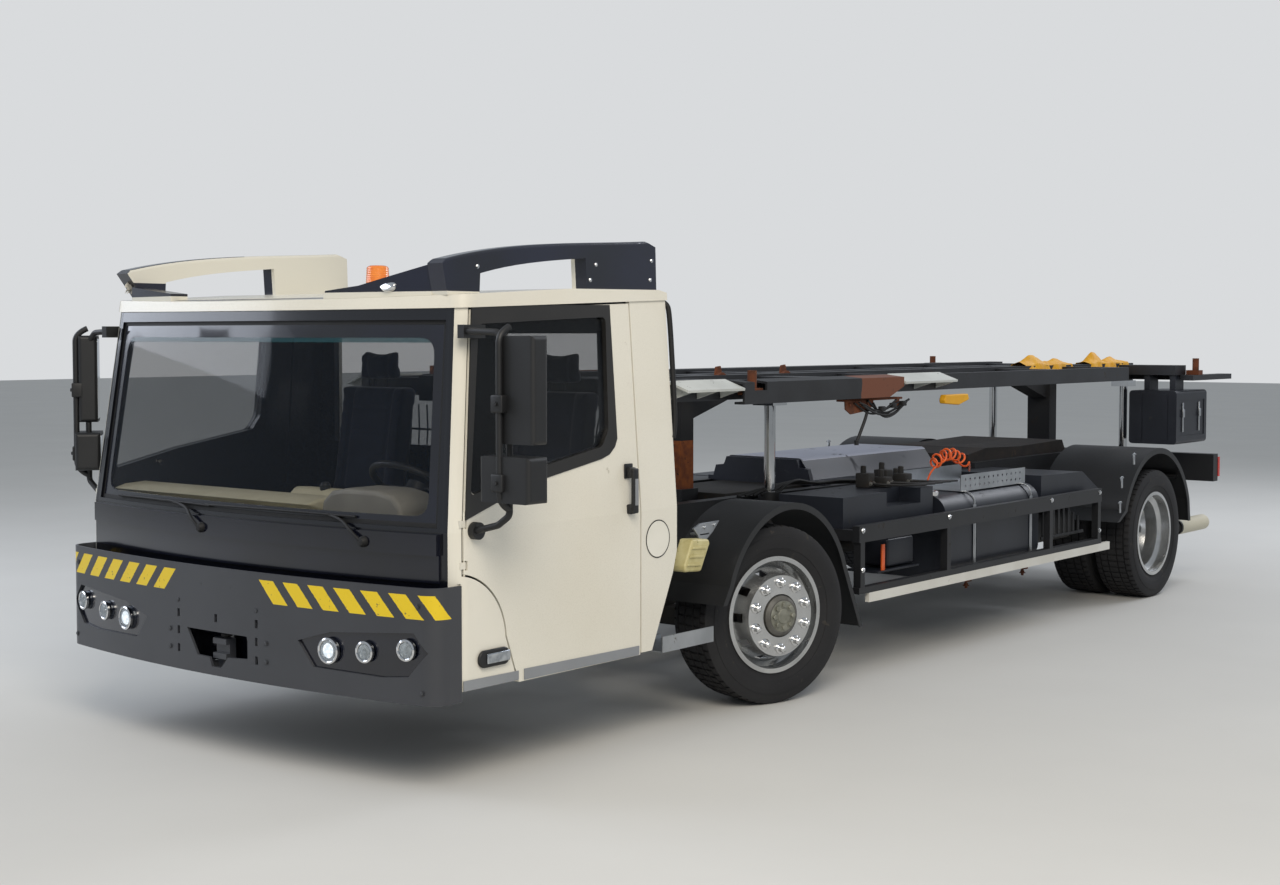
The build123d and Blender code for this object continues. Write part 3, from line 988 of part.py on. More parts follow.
def build_rear():
    """The rear cross beam with its lamps, and the exhaust."""
    y = RAIL_REAR + FACE_GAP
    beam = block(-1180, 1180, y, y + 90, RAIL_BOTTOM + 25, RAIL_TOP - 5)
    node("rear_beam", beam)
    lamp = block(1040, 1185, y + 90 + FACE_GAP, y + 120, RAIL_BOTTOM + 60, RAIL_TOP - 30)
    node("rear_lamps", both(lamp))
    lane_x, lane_z = PIPE_LANE
    tail_x, tail_z = TAIL_PLACE
    muffler = rounded_tube(RAIL_OUT_X + 20 + FACE_GAP, 1000, MUFFLER_FRONT, MUFFLER_REAR, 480, 690, 70)
    lane = rod_y(PIPE_R, lane_x, MUFFLER_REAR - 10, PIPE_TURN_Y, lane_z)
    drop = rod_z(PIPE_R, lane_x, PIPE_TURN_Y, tail_z, lane_z)
    across = rod_x(PIPE_R, lane_x, tail_x, PIPE_TURN_Y, tail_z)
    tail = rod_y(TAIL_R, tail_x, PIPE_TURN_Y, TAIL_REAR, tail_z)
    tail -= rod_y(TAIL_R - 4, tail_x, TAIL_REAR - 150, TAIL_REAR + 1, tail_z)
    bends = [Pos(x, PIPE_TURN_Y, z) * Sphere(PIPE_R)
             for x, z in ((lane_x, lane_z), (lane_x, tail_z), (tail_x, tail_z))]
    hanger = block(RAIL_OUT_X + FACE_GAP, RAIL_OUT_X + 60, MUFFLER_REAR - 130, MUFFLER_REAR - 80,
                   560, RAIL_BOTTOM + 20)
    node("exhaust", muffler + lane + drop + across + tail + bends + hanger)


def fin_shape(whole):
    """One open roof fin standing along the roof's left edge. The right one's front leg has lost its foot."""
    rear = CAB_REAR + ROOF_BRIM
    front = ROOF_CORNER_Y
    z = ROOF_CROWN_FRONT
    top = Spline((front - 20, z + 148), (front + 130, z + 177), (front + 696, z + 237), (rear - 68, z + 269))
    tail = Polyline((rear - 68, z + 269), (rear + 7, z + 244), (rear + 17, z - 50), (rear - 485, z - 50),
                    (rear - 500, z + 177))
    under = Spline((rear - 500, z + 177), (front + 696, z + 164),
                   (front + 300, z + 116), (front + 178, z + 91))
    leg_front = front - 6 if whole else front + 96
    leg = Polyline((front + 178, z + 91), (front + 170, z - 50), (leg_front, z - 50), (front - 45, z + 128),
                   (front - 20, z + 148))
    face = make_face([top, under] + list(tail.edges()) + list(leg.edges()))
    fin = extrude(Plane.YZ.offset(FIN_IN_X) * face, amount=FIN_OUT_X - FIN_IN_X)
    ridge = fin.edges().filter_by(GeomType.BSPLINE).group_by(Axis.Z)[-1]
    return on_roof(fillet(ridge, FIN_EDGE_R))


def build_roof_gear():
    """The two open roof fins with their low noses along the front, and the beacon."""
    crown = ROOF_CROWN_FRONT
    base = crown - 60
    outer_face = extrude(plan_section(ROOF_CROWN_FRONT, 4 - ROOF_BRIM), amount=260)
    inner_face = extrude(plan_section(ROOF_CROWN_FRONT, 4 - ROOF_BRIM + NOSE_DEPTH), amount=260)
    ring = Pos(0, 0, -60) * (outer_face - inner_face)
    stop = FIN_IN_X - FACE_GAP
    left = [(430, base), (457, crown + 22), (646, crown + 42), (stop - 12, crown + 125), (stop, crown + 128),
            (stop, base)]
    right = [(-640, base), (-640, crown + 26), (-900, crown + 50), (-stop, crown + 64), (-stop, base)]
    noses = [on_roof(ring & front_prism(outline, -2700, ROOF_CORNER_Y + 200)) for outline in (left, right)]
    node("roof_fins", fin_shape(True), other_side(fin_shape(False)), *noses)
    beacon = block(-70, 70, BEACON_Y - 70, BEACON_Y + 70, crown, crown + 165)
    beacon = fillet(beacon.edges().filter_by(Axis.Z), 26)
    beacon = fillet(beacon.edges().group_by(Axis.Z)[-1], 14)
    node("beacon", on_roof(beacon))


def build_inside():
    """What shows through the cab's glass."""
    wheel_y, wheel_z = WHEEL_PLACE
    inner = cab_form(CAB_WALL + FACE_GAP, CAB_FLOOR_TOP - 5, LOFT_TOP)
    front = CAB_CORNER_Y - 25
    dash = side_prism([(front, CAB_FLOOR_TOP + 5), (front, 1040), (front + 240, 1030), (front + 360, 960),
                       (front + 360, 900), (front + 140, CAB_FLOOR_TOP + 5)], -1120, 1120)
    pod = side_prism([(front + 60, 1000), (front + 150, 1130), (front + 330, 1120), (front + 350, 1000)],
                     DRIVER_X - 230, DRIVER_X + 230)
    console = side_prism([(front + 60, 1000), (front + 235, 1120), (front + 378, 1065), (front + 386, 900),
                          (front + 200, 900)], -20, 250)
    column_room = (Pos(DRIVER_X, wheel_y, wheel_z) * Rot(WHEEL_TILT, 0, 0) * Pos(0, 0, -150)
                   * Cylinder(33, 300))
    node("dashboard", (dash & inner) + (pod & inner) + (console & inner) - column_room)
    seats = []
    for x in (-DRIVER_X, DRIVER_X):
        base = block(x - 170, x + 170, -1560, -1180, CAB_FLOOR_TOP + FACE_GAP, 900)
        cushion = block(x - 250, x + 250, -1680, -1160, 900 + FACE_GAP, 1020)
        back = side_prism([(-1200, 1020.3), (-1080, 1020.3), (-1010, 1620), (-1110, 1620)], x - 240, x + 240)
        head = block(x - 130, x + 130, -1090, -1020, 1620.3, 1790)
        seats += [base, cushion, back, head]
    node("seats", *seats)
    ring = Torus(WHEEL_R, 15)
    spokes = Box(2 * WHEEL_R - 6, 26, 12) + Pos(0, WHEEL_R / 2 - 2, 0) * Box(26, WHEEL_R - 3, 12)
    column = Pos(0, 0, -145) * Cylinder(32, 290)
    wheel = ring + spokes + Cylinder(52, 40) + column
    node("steering_wheel", Pos(DRIVER_X, wheel_y, wheel_z) * Rot(WHEEL_TILT, 0, 0) * wheel)


build_wheels()
build_axles()
build_knuckles()
build_frame()
build_cylinders()
build_lift_frame()
build_bumper()
build_fenders()
build_sides()
build_engine()
build_rear()
build_inside()
build_cab()
build_roof_gear()
build_doors()


def save():
    """Writes each node, moved so that the whole length is centred on Y = 0."""
    os.makedirs("parts", exist_ok=True)
    for name, solids in PARTS.items():
        shape = Compound(children=[Pos(0, -MIDDLE, 0) * solid for solid in solids])
        export_step(shape if len(solids) > 1 else Pos(0, -MIDDLE, 0) * solids[0], "parts/" + name + ".step")


save()
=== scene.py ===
"""Looks of a swap body truck: finishes, fittings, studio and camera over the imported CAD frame."""
from __future__ import annotations

import json
import logging
import math
from dataclasses import dataclass, field
from enum import Enum
from typing import Iterable, Sequence

import bmesh
import bpy
from mathutils import Matrix, Vector

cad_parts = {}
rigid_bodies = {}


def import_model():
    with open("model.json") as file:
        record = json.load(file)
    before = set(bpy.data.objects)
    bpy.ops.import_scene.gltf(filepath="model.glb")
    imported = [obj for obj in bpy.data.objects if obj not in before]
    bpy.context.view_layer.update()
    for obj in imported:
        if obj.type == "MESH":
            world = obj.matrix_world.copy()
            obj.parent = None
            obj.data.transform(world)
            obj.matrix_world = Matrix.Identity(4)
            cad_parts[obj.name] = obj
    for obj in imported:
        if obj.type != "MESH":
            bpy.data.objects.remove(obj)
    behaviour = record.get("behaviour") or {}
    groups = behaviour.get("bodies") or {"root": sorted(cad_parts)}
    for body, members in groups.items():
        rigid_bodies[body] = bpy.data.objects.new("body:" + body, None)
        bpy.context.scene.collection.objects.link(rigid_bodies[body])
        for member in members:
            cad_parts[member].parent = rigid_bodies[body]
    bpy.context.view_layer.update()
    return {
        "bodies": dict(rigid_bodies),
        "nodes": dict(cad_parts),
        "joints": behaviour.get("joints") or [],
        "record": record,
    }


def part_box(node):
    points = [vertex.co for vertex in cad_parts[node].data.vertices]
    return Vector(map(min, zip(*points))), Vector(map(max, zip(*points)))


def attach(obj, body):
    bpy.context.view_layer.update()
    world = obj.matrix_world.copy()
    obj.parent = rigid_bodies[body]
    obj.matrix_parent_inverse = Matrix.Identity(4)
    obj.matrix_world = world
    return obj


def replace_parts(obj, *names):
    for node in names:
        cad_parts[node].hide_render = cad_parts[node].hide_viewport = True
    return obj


LOG = logging.getLogger("truck")
Point = Sequence[float]
Outline = tuple[tuple[float, float], ...]
Piece = bpy.types.Object
Tree = bpy.types.NodeTree
Socket = bpy.types.NodeSocket

# The row frame has Y = 0 at the middle of the length; sizes measured from the front axle move by this.
AXLE_Y = -1.8325
PHOTO_WIDTH, PHOTO_HEIGHT = 1280, 885
# The cab's side walls stand upright up to the belt and lean in above it; its front is bowed.
WALL_X, BELT_Z, WALL_LEAN, FRONT_BOW = 1.250, 1.070, 0.0746, 14.0
# Points nearer than this are welded; a spun profile's start and end may be a little further apart.
WELD, SEAM = 0.00002, 0.00003
# Most of a noise's values lie between these two.
NOISE_LOW, NOISE_HIGH = 0.35, 0.65
# The bodies that carry most pieces, and the record's commonest material slot.
BASE, LIFT = "chassis", "lift_frame"
BLACK = "black_plastic"


class Axis(Enum):
    """A direction along which a profile is carried."""

    X = 0
    Y = 1
    Z = 2


class Side(Enum):
    """A side of the vehicle, with the sign of its X."""

    LEFT = 1
    RIGHT = -1

    @property
    def word(self) -> str:
        """The side's name as the CAD nodes spell it."""
        return self.name.lower()


def aft(y: float) -> float:
    """A distance behind the front axle as a Y of the row frame."""
    return y + AXLE_Y


# ---- shader helpers
def linear(code: str) -> tuple[float, float, float, float]:
    """Turns an sRGB hex colour into a linear one.

    Args:
        code: Six hex digits, with or without a leading #.

    Returns:
        Red, green, blue and an alpha of 1.
    """
    digits = code.lstrip("#")
    parts = [int(digits[i:i + 2], 16) / 255 for i in (0, 2, 4)]
    red, green, blue = [c / 12.92 if c <= 0.04045 else ((c + 0.055) / 1.055) ** 2.4 for c in parts]
    return red, green, blue, 1.0


def add_node(tree: Tree, kind: str, inputs: dict | None = None, **settings: object) -> bpy.types.Node:
    """Adds a shader node with its settings, values and links.

    Args:
        tree: The node tree of a material or a world.
        kind: The node's type without its ShaderNode prefix.
        inputs: Socket name or number to a value, or to the output socket that feeds it.
        settings: The node's own properties.

    Returns:
        The new node.
    """
    made = tree.nodes.new("ShaderNode" + kind)
    for key, value in settings.items():
        setattr(made, key, value)
    for key, value in (inputs or {}).items():
        if isinstance(value, Socket):
            tree.links.new(value, made.inputs[key])
        else:
            made.inputs[key].default_value = value
    return made


def worked(tree: Tree, value: Socket | float, *steps: tuple) -> Socket:
    """Works a value through sums and tests, one after the other.

    Args:
        tree: The node tree.
        value: What the first step starts from.
        steps: Each step's operation, with its second value where it has one.

    Returns:
        The result of the last step.
    """
    for operation, *second in steps:
        value = add_node(tree, "Math", dict(enumerate([value, *second])), operation=operation).outputs[0]
    return value


def new_tree(name: str) -> tuple[bpy.types.Material, Tree, bpy.types.Node]:
    """Makes an empty node material.

    Args:
        name: The material's name.

    Returns:
        The material, its tree, and its output node.
    """
    material = bpy.data.materials.new(name)
    material.use_nodes = True
    material.node_tree.nodes.clear()
    output = add_node(material.node_tree, "OutputMaterial")
    return material, material.node_tree, output


def per_metre(size_mm: float) -> float:
    """The noise scale at which one feature is size_mm across on Object coordinates."""
    return 1000.0 / size_mm


LESS, MORE = "LESS_THAN", "GREATER_THAN"


class Measure(Enum):
    """What the edge of a second paint is measured by."""

    ACROSS = "distance from the middle"
    UPRIGHT = "that distance as if the cab's walls stood upright"
    ALONG = "place along the truck"
    UNBOWED = "that place as if the cab's front were flat"
    RAGGED = "that place with a worn edge"
    HEIGHT = "height"
    ASIDE = "how far the surface faces to a side"


Test = tuple[Measure, str, float]


@dataclass(frozen=True)
class Surface:
    """A material that is built once, under its own name."""

    name: str

    def shader(self, tree: Tree, place: Socket) -> bpy.types.Node:
        """The shader node of this surface, for the Object coordinates in place."""
        raise NotImplementedError

    def build(self) -> bpy.types.Material:
        """Builds the material once and gives the same one afterwards.

        Returns:
            The material.
        """
        found = bpy.data.materials.get(self.name)
        if found:
            return found
        material, tree, output = new_tree(self.name)
        made = self.shader(tree, add_node(tree, "TexCoord").outputs["Object"])
        tree.links.new(made.outputs[0], output.inputs[0])
        return material


@dataclass(frozen=True)
class Soil:
    """Dirt, wear or rust that lies over a finish in patches of a real size."""

    colour: str
    share: float
    patch_mm: float
    roughness: float = 0.9
    raggedness: float = 0.68
    softness: float = 0.05

    @property
    def edge(self) -> float:
        """The noise value from which the soil lies, so that it covers about its share."""
        return 0.5 + (0.5 - self.share) * 0.42


@dataclass(frozen=True)
class Finish(Surface):
    """A painted, moulded or bare surface with its patches of soil and a fine grain."""

    colour: str
    second: str
    drift_mm: float
    roughness: float
    grain_mm: float
    grain_height_mm: float
    soils: tuple[Soil, ...] = ()
    metallic: float = 0.0
    coat: float = 0.0
    sheen: float = 0.0
    gloss_drift: float = 0.15

    def base_colour(self, tree: Tree, place: Socket) -> Socket:
        """The clean colour, drifting softly between two close tones.

        Args:
            tree: The material's node tree.
            place: The Object coordinates.

        Returns:
            The colour's socket.
        """
        drift = add_node(tree, "TexNoise", {"Vector": place, "Scale": per_metre(self.drift_mm), "Detail": 4.0})
        tone = add_node(tree, "MapRange", {"Value": drift.outputs["Fac"], "From Min": NOISE_LOW,
            "From Max": NOISE_HIGH})
        return add_node(tree, "Mix", {0: tone.outputs[0], 6: linear(self.colour), 7: linear(self.second)},
            data_type="RGBA").outputs[2]

    def shader(self, tree: Tree, place: Socket) -> bpy.types.Node:
        """The colour, gloss and fine bump, with each soil's patches laid over them.

        Args:
            tree: The material's node tree.
            place: The Object coordinates.

        Returns:
            The surface's shader node.
        """
        colour, rough, metal = self.base_colour(tree, place), self.roughness, self.metallic
        grain = add_node(tree, "TexNoise", {"Vector": place, "Scale": per_metre(self.grain_mm), "Detail": 2.0})
        matt = add_node(tree, "MapRange", {"Value": grain.outputs["Fac"],
            "To Min": rough * (1 - self.gloss_drift), "To Max": min(1.0, rough * (1
            + self.gloss_drift))}).outputs[0]
        for number, soil in enumerate(self.soils):
            spots = add_node(tree, "TexNoise", {"Vector": place, "Scale": per_metre(soil.patch_mm), "Detail": 8.0,
                "Roughness": soil.raggedness, "Distortion": 0.35 + number})
            mask = add_node(tree, "MapRange", {"Value": spots.outputs["Fac"], "From Min": soil.edge,
                "From Max": soil.edge + soil.softness}).outputs[0]
            colour = add_node(tree, "Mix", {0: mask, 6: colour, 7: linear(soil.colour)},
                data_type="RGBA").outputs[2]
            matt = add_node(tree, "Mix", {0: mask, 2: matt, 3: soil.roughness}).outputs[0]
            if self.metallic > 0.5:
                metal = worked(tree, 1.0, ("SUBTRACT", mask), ("MULTIPLY", metal))
        bump = add_node(tree, "Bump", {"Height": grain.outputs["Fac"], "Distance": self.grain_height_mm / 1000,
            "Strength": 1.0})
        return add_node(tree, "BsdfPrincipled", {"Base Color": colour, "Roughness": matt, "Metallic": metal,
            "Normal": bump.outputs[0], "Coat Weight": self.coat, "Coat Roughness": 0.08,
            "Sheen Weight": self.sheen})


@dataclass(frozen=True)
class Striped(Finish):
    """Sprayed enamel with a row of slanting bars on each side, mirrored about the middle."""

    bar_colour: str = "#E6C619"
    first_x: float = 0.287
    pitch: float = 0.1453
    bar: float = 0.60
    count: int = 7
    high: float = 0.826
    low: float = 0.728
    slant: float = 0.90
    nose_y: float = -2.633 + AXLE_Y
    corner_x: float = 1.165
    skin: float = 0.0012
    jag: float = 0.004
    chip_mm: float = 14.0
    chipped: tuple[float, float] = (0.66, 0.70)
    chip_left: float = 0.25

    def base_colour(self, tree: Tree, place: Socket) -> Socket:
        """The enamel with its bars, which wrap round the corners and whose edges are worn by a fine noise.

        Args:
            tree: The material's node tree.
            place: The Object coordinates.

        Returns:
            The colour's socket.
        """
        worn = add_node(tree, "TexNoise", {"Vector": place, "Scale": per_metre(self.chip_mm), "Detail": 6.0})
        jag = add_node(tree, "MapRange", {"Value": worn.outputs["Fac"], "To Min": -self.jag, "To Max": self.jag})
        x, y, z = add_node(tree, "SeparateXYZ", {0: place}).outputs
        across = worked(tree, x, ("ABSOLUTE",))
        bulge = worked(tree, across, ("POWER", 2.0), ("DIVIDE", FRONT_BOW))
        behind = worked(tree, y, ("SUBTRACT", bulge), ("SUBTRACT", self.nose_y))
        corner = worked(tree, across, (MORE, self.corner_x))
        wrap = worked(tree, behind, ("MAXIMUM", 0.0), ("MULTIPLY", corner))
        lean = worked(tree, self.high, ("SUBTRACT", z), ("MULTIPLY", self.slant))
        along = worked(tree, across, ("ADD", wrap), ("SUBTRACT", lean), ("ADD", jag.outputs[0]))
        step = add_node(tree, "MapRange", {"Value": along, "From Min": self.first_x, "From Max": self.first_x
            + self.pitch}, clamp=False).outputs[0]
        chips = add_node(tree, "MapRange", {"Value": worn.outputs["Fac"], "From Min": self.chipped[0],
            "From Max": self.chipped[1], "To Min": 1.0, "To Max": self.chip_left}).outputs[0]
        mask = worked(tree, behind, (LESS, self.skin), ("MAXIMUM", corner), ("MULTIPLY", chips))
        for value, test, limit in ((worked(tree, step, ("FRACT", )), LESS, self.bar), (step, MORE, 0.0), (step,
                LESS, float(self.count)), (z, MORE, self.low), (z, LESS, self.high)):
            mask = worked(tree, mask, ("MULTIPLY", worked(tree, value, (test, limit))))
        return add_node(tree, "Mix", {0: mask, 6: Finish.base_colour(self, tree, place),
            7: linear(self.bar_colour)}, data_type="RGBA").outputs[2]


@dataclass(frozen=True)
class Zoned(Finish):
    """Two paints on one part: the second covers each zone in which all of the zone's tests hold."""

    other: str = "#000000"
    zones: tuple[tuple[Test, ...], ...] = ()
    rag_mm: float = 60.0
    rag: float = 0.02

    def measured(self, tree: Tree, place: Socket, by: Measure) -> Socket:
        """The value of a measure at each point of the surface.

        Args:
            tree: The node tree.
            place: The Object coordinates.
            by: The measure.

        Returns:
            The value's socket.
        """
        x, y, z = add_node(tree, "SeparateXYZ", {0: place}).outputs
        if by is Measure.ASIDE:
            facing = add_node(tree, "SeparateXYZ", {0: add_node(tree, "TexCoord").outputs["Normal"]})
            return worked(tree, facing.outputs[0], ("ABSOLUTE",))
        if by is Measure.RAGGED:
            noise = add_node(tree, "TexNoise", {"Vector": place, "Scale": per_metre(self.rag_mm), "Detail": 6.0})
            jag = add_node(tree, "MapRange", {"Value": noise.outputs["Fac"], "To Min": -self.rag,
                "To Max": self.rag})
            return worked(tree, y, ("ADD", jag.outputs[0]))
        if by in (Measure.HEIGHT, Measure.ALONG):
            return z if by is Measure.HEIGHT else y
        across = worked(tree, x, ("ABSOLUTE",))
        if by is Measure.UNBOWED:
            return worked(tree, y, ("SUBTRACT", worked(tree, across, ("POWER", 2.0), ("DIVIDE", FRONT_BOW))))
        if by is Measure.UPRIGHT:
            lean = worked(tree, z, ("SUBTRACT", BELT_Z), ("MAXIMUM", 0.0), ("MULTIPLY", WALL_LEAN))
            return worked(tree, across, ("ADD", lean))
        return across

    def base_colour(self, tree: Tree, place: Socket) -> Socket:
        """The first paint, and the second one in the zones.

        Args:
            tree: The material's node tree.
            place: The Object coordinates.

        Returns:
            The colour's socket.
        """
        mask: Socket | float = 0.0
        for zone in self.zones:
            inside: Socket | float = 1.0
            for by, test, limit in zone:
                holds = worked(tree, self.measured(tree, place, by), (test, limit))
                inside = worked(tree, inside, ("MULTIPLY", holds))
            mask = worked(tree, mask, ("MAXIMUM", inside))
        return add_node(tree, "Mix", {0: mask, 6: Finish.base_colour(self, tree, place), 7: linear(self.other)},
            data_type="RGBA").outputs[2]


@dataclass(frozen=True)
class Pane(Surface):
    """Tinted safety glass: a dark, partly clear sheet with a bright surface reflection."""

    tint: str
    cover: float
    roughness: float = 0.02
    film_mm: float = 220.0
    film_dulls: float = 2.5
    index: float = 1.52

    def shader(self, tree: Tree, place: Socket) -> bpy.types.Node:
        """The clear sheet, under a thin film of grime that dulls it unevenly.

        Args:
            tree: The material's node tree.
            place: The Object coordinates.

        Returns:
            The pane's shader node.
        """
        film = add_node(tree, "TexNoise", {"Vector": place, "Scale": per_metre(self.film_mm), "Detail": 5.0})
        matt = add_node(tree, "MapRange", {"Value": film.outputs["Fac"], "To Min": self.roughness,
            "To Max": self.roughness * self.film_dulls})
        return add_node(tree, "BsdfPrincipled", {"Base Color": linear(self.tint), "Roughness": matt.outputs[0],
            "Alpha": self.cover, "IOR": self.index})


@dataclass(frozen=True)
class PaintedGlow(Surface):
    """A lamp core made to glow, a painted highlight: its light gives the bright reflection at the lamp's centre.
    """

    colour: str
    strength: float
    dim: str = "#7E8890"
    cell_mm: float = 16.0

    def shader(self, tree: Tree, place: Socket) -> bpy.types.Node:
        """Small bright cells, painted glints as of a silvered bowl round a bulb.

        Args:
            tree: The material's node tree.
            place: The Object coordinates.

        Returns:
            The lamp's shader node.
        """
        cells = add_node(tree, "TexVoronoi", {"Vector": place, "Scale": per_metre(self.cell_mm)})
        bright = add_node(tree, "MapRange", {"Value": cells.outputs["Distance"], "From Max": 0.6, "To Min": 1.0,
            "To Max": 0.35})
        tone = add_node(tree, "Mix", {0: bright.outputs[0], 6: linear(self.dim), 7: linear(self.colour)},
            data_type="RGBA").outputs[2]
        return add_node(tree, "BsdfPrincipled", {"Base Color": tone, "Emission Color": tone,
            "Emission Strength": self.strength, "Roughness": 0.1})


# Each Finish gives its name, two tones, their drift in mm, its roughness, and its grain's size and height in mm.
# Polyester enamel on sheet steel, smooth and glossy, yellowed a little and dusty in streaks, with a dark
# lining on the faces that look into the cab.
PAINT, PAINT_AGED = "#E4E0D3", "#DDD8C9"


def cab_enamel(name: str, *zone: Test) -> Zoned:
    """The cab's enamel, with its dark lining where every test of the zone holds."""
    return Zoned(name, PAINT, PAINT_AGED, 900, 0.28, 3, 0.012, (Soil("#B7B09E", 0.06, 160, 0.6), ), coat=0.35,
        other="#14161D", zones=(zone, ))


CAB_REAR = cab_enamel("cab_rear_enamel", (Measure.UPRIGHT, LESS, WALL_X - 0.022), (Measure.ALONG, LESS,
    aft(-0.962)), (Measure.HEIGHT, MORE, 0.47))
DOOR = cab_enamel("door_enamel", (Measure.UPRIGHT, LESS, WALL_X - 0.012), (Measure.HEIGHT, MORE, 0.43))
ROOF = cab_enamel("roof_enamel", (Measure.UPRIGHT, LESS, WALL_X - 0.05), (Measure.ALONG, LESS, aft(-0.99)),
    (Measure.UNBOWED, MORE, aft(-2.385)), (Measure.HEIGHT, LESS, 2.036))
CAB_FRONT = Zoned("cab_front_enamel", PAINT, PAINT_AGED, 900, 0.22, 3, 0.01, coat=0.5, other="#080A12",
    zones=(((Measure.UPRIGHT, LESS, 1.203), ), ))
# Pigmented gel coat of the dark glass-fibre covers, glossy with a bluish black; the fins' inner legs, rear
# ends and low edges are cream.
GEL = Finish("dark_gelcoat", "#0B0D16", "#0F1220", 400, 0.18, 4, 0.008, coat=0.6)
FINS = Zoned("fin_gelcoat", "#0C0F1B", "#11152A", 400, 0.22, 4, 0.01, coat=0.5, other="#DDD9CB",
    zones=(((Measure.ACROSS, LESS, 1.045), (Measure.HEIGHT, MORE, 2.125), (Measure.ASIDE, MORE, 0.6)),
    ((Measure.ACROSS, LESS, 1.045), (Measure.ALONG, MORE, aft(-1.62))), ((Measure.HEIGHT, LESS, 2.054), )))
# Sprayed grey enamel, dull, with worn yellow warning bars.
BUMPER = Striped("bumper_enamel", "#3B3D42", "#35373C", 500, 0.42, 2, 0.02, (Soil("#55534E", 0.05, 90, 0.8), ),
    coat=0.1)
BUMPER_BOLT = Finish("painted_bolt", "#303236", "#3A3C40", 40, 0.45, 2, 0.02)
# Moulded polypropylene with a fine leather grain, matt and a little greyed.
PLASTIC = Finish("moulded_plastic", "#131416", "#1A1B1D", 300, 0.5, 1.6, 0.08)
GREY_TRIM = Finish("grey_trim", "#8C8F93", "#84878B", 400, 0.5, 2, 0.04, (Soil("#6B6A66", 0.08, 60),))
# Vulcanised rubber, dull black with grey dust held in the shoulders.
RUBBER = Finish("tyre_rubber", "#17171A", "#1F1F21", 260, 0.78, 3, 0.12, (Soil("#3A3733", 0.22, 70, 0.95),))
SEAL = Finish("rubber_seal", "#0A0A0B", "#101011", 100, 0.65, 2, 0.05)
# Powder-coated chassis steel, black, with road dirt and rust where it is chipped.
CHASSIS = Finish("chassis_coat", "#141518", "#1B1C1F", 300, 0.5, 4, 0.06, (Soil("#2E2A26", 0.2, 120, 0.9),
    Soil("#4A2C1B", 0.05, 60, 0.95)))
LIFT_STEEL = Finish("lift_frame_coat", "#16171B", "#202227", 250, 0.48, 5, 0.1, (Soil("#33302D", 0.22, 140, 0.9),
    Soil("#6A3A20", 0.12, 90, 0.95)))
# White enamel of the guide plates, scraped to dirt and rust by the boxes that slide on them.
WHITE_GUIDE = Finish("guide_enamel", "#C9CCC8", "#B9BCB8", 300, 0.5, 4, 0.08, (Soil("#4B4844", 0.2, 130, 0.85),
    Soil("#6A3A20", 0.08, 50, 0.95)))
# Silver wheel lacquer, bright on its faces, with brake dust and specks of rust.
RIM = Finish("rim_silver", "#C9CACA", "#B5B6B6", 200, 0.24, 2, 0.03, (Soil("#6E675C", 0.12, 40, 0.8),
    Soil("#5A3521", 0.05, 22, 0.95)), metallic=0.9)
# Hard chrome on ground rods, with a clear reflection of dark and light.
CHROME = Finish("chromed_steel", "#D9DADB", "#CFD0D2", 200, 0.08, 3, 0.004, (Soil("#6D6A64", 0.04, 60, 0.6), ),
    metallic=1.0)
# Rolled aluminium plate, dulled by use.
ALUMINIUM = Finish("rolled_aluminium", "#B9BCBF", "#A5A8AB", 150, 0.38, 3, 0.03, (Soil("#5F5C57", 0.14, 60, 0.8),
    ), metallic=1.0)
# Sand-cast iron, rough and dark, browned; the hub's is greyer and its cap zinc-plated.
CAST = Finish("cast_iron", "#1D1C1B", "#262422", 90, 0.75, 3, 0.3, (Soil("#3C2E24", 0.25, 50, 0.95),))
HUB = Finish("hub_iron", "#6A6965", "#56544F", 60, 0.6, 2.5, 0.2, (Soil("#4A3020", 0.25, 30, 0.95), ),
    metallic=0.3)
HUB_CAP = Finish("hub_cap_zinc", "#8F8F84", "#77776C", 40, 0.5, 2.5, 0.1, metallic=0.4)
# Laminated and toughened glass, green in its thickness, with a bright skin of reflection.
GLASS = Pane("tinted_glass", "#0E1620", 0.22)
TINT_BAND = Pane("screen_tint_band", "#1F4A52", 0.55)
SIDE_GLASS = Pane("side_glass", "#0A0E10", 0.30)
MIRROR = Finish("mirror_silvering", "#E8EAEC", "#DCDFE2", 300, 0.03, 6, 0.0005, metallic=1.0)
# Polycarbonate lens over a vapour-silvered bowl, cut in small ribs.
LENS = Pane("clear_lens", "#C8D2D8", 0.30)
BOWL = Finish("lamp_bowl", "#9BA1A8", "#4A4F55", 16, 0.14, 9, 0.8, metallic=1.0)
MARKER_BOWL = Finish("marker_bowl", "#C6CBD0", "#9BA1A8", 30, 0.12, 9, 0.8, metallic=1.0)
# A glowing core: a painted highlight for the bright reflection at the headlamp's centre.
PAINTED_LAMP_GLINT = PaintedGlow("lamp_light", "#F4FAFF", 1.3)
AMBER = Finish("amber_lens", "#E2701C", "#F0892B", 60, 0.12, 6, 0.4, coat=0.8)
RED = Finish("red_lens", "#8E1512", "#A91D18", 60, 0.15, 6, 0.3, coat=0.8)
# Woven seat cloth, dark blue and fuzzy at a low angle.
CLOTH = Finish("seat_cloth", "#171C30", "#20263C", 120, 0.92, 2.4, 0.35, sheen=0.3)
# Foamed dash skins: a dark lower moulding, a cream pad and a grey cowl, all leather-grained.
DASH = Zoned("dash_moulding", "#212226", "#282A2E", 300, 0.55, 1.6, 0.1, other="#C4BFA8", zones=(((Measure.HEIGHT,
    MORE, 0.93), ), ))
DASH_CREAM = Finish("dash_pad_foam", "#CFC9AE", "#C4BEA2", 200, 0.6, 1.6, 0.1)
DASH_GREY = Finish("dash_cowl", "#8F8C82", "#9A978D", 200, 0.55, 1.6, 0.1)
CABIN = Finish("cabin_floor_mat", "#2A2B2D", "#333436", 200, 0.85, 4, 0.4)
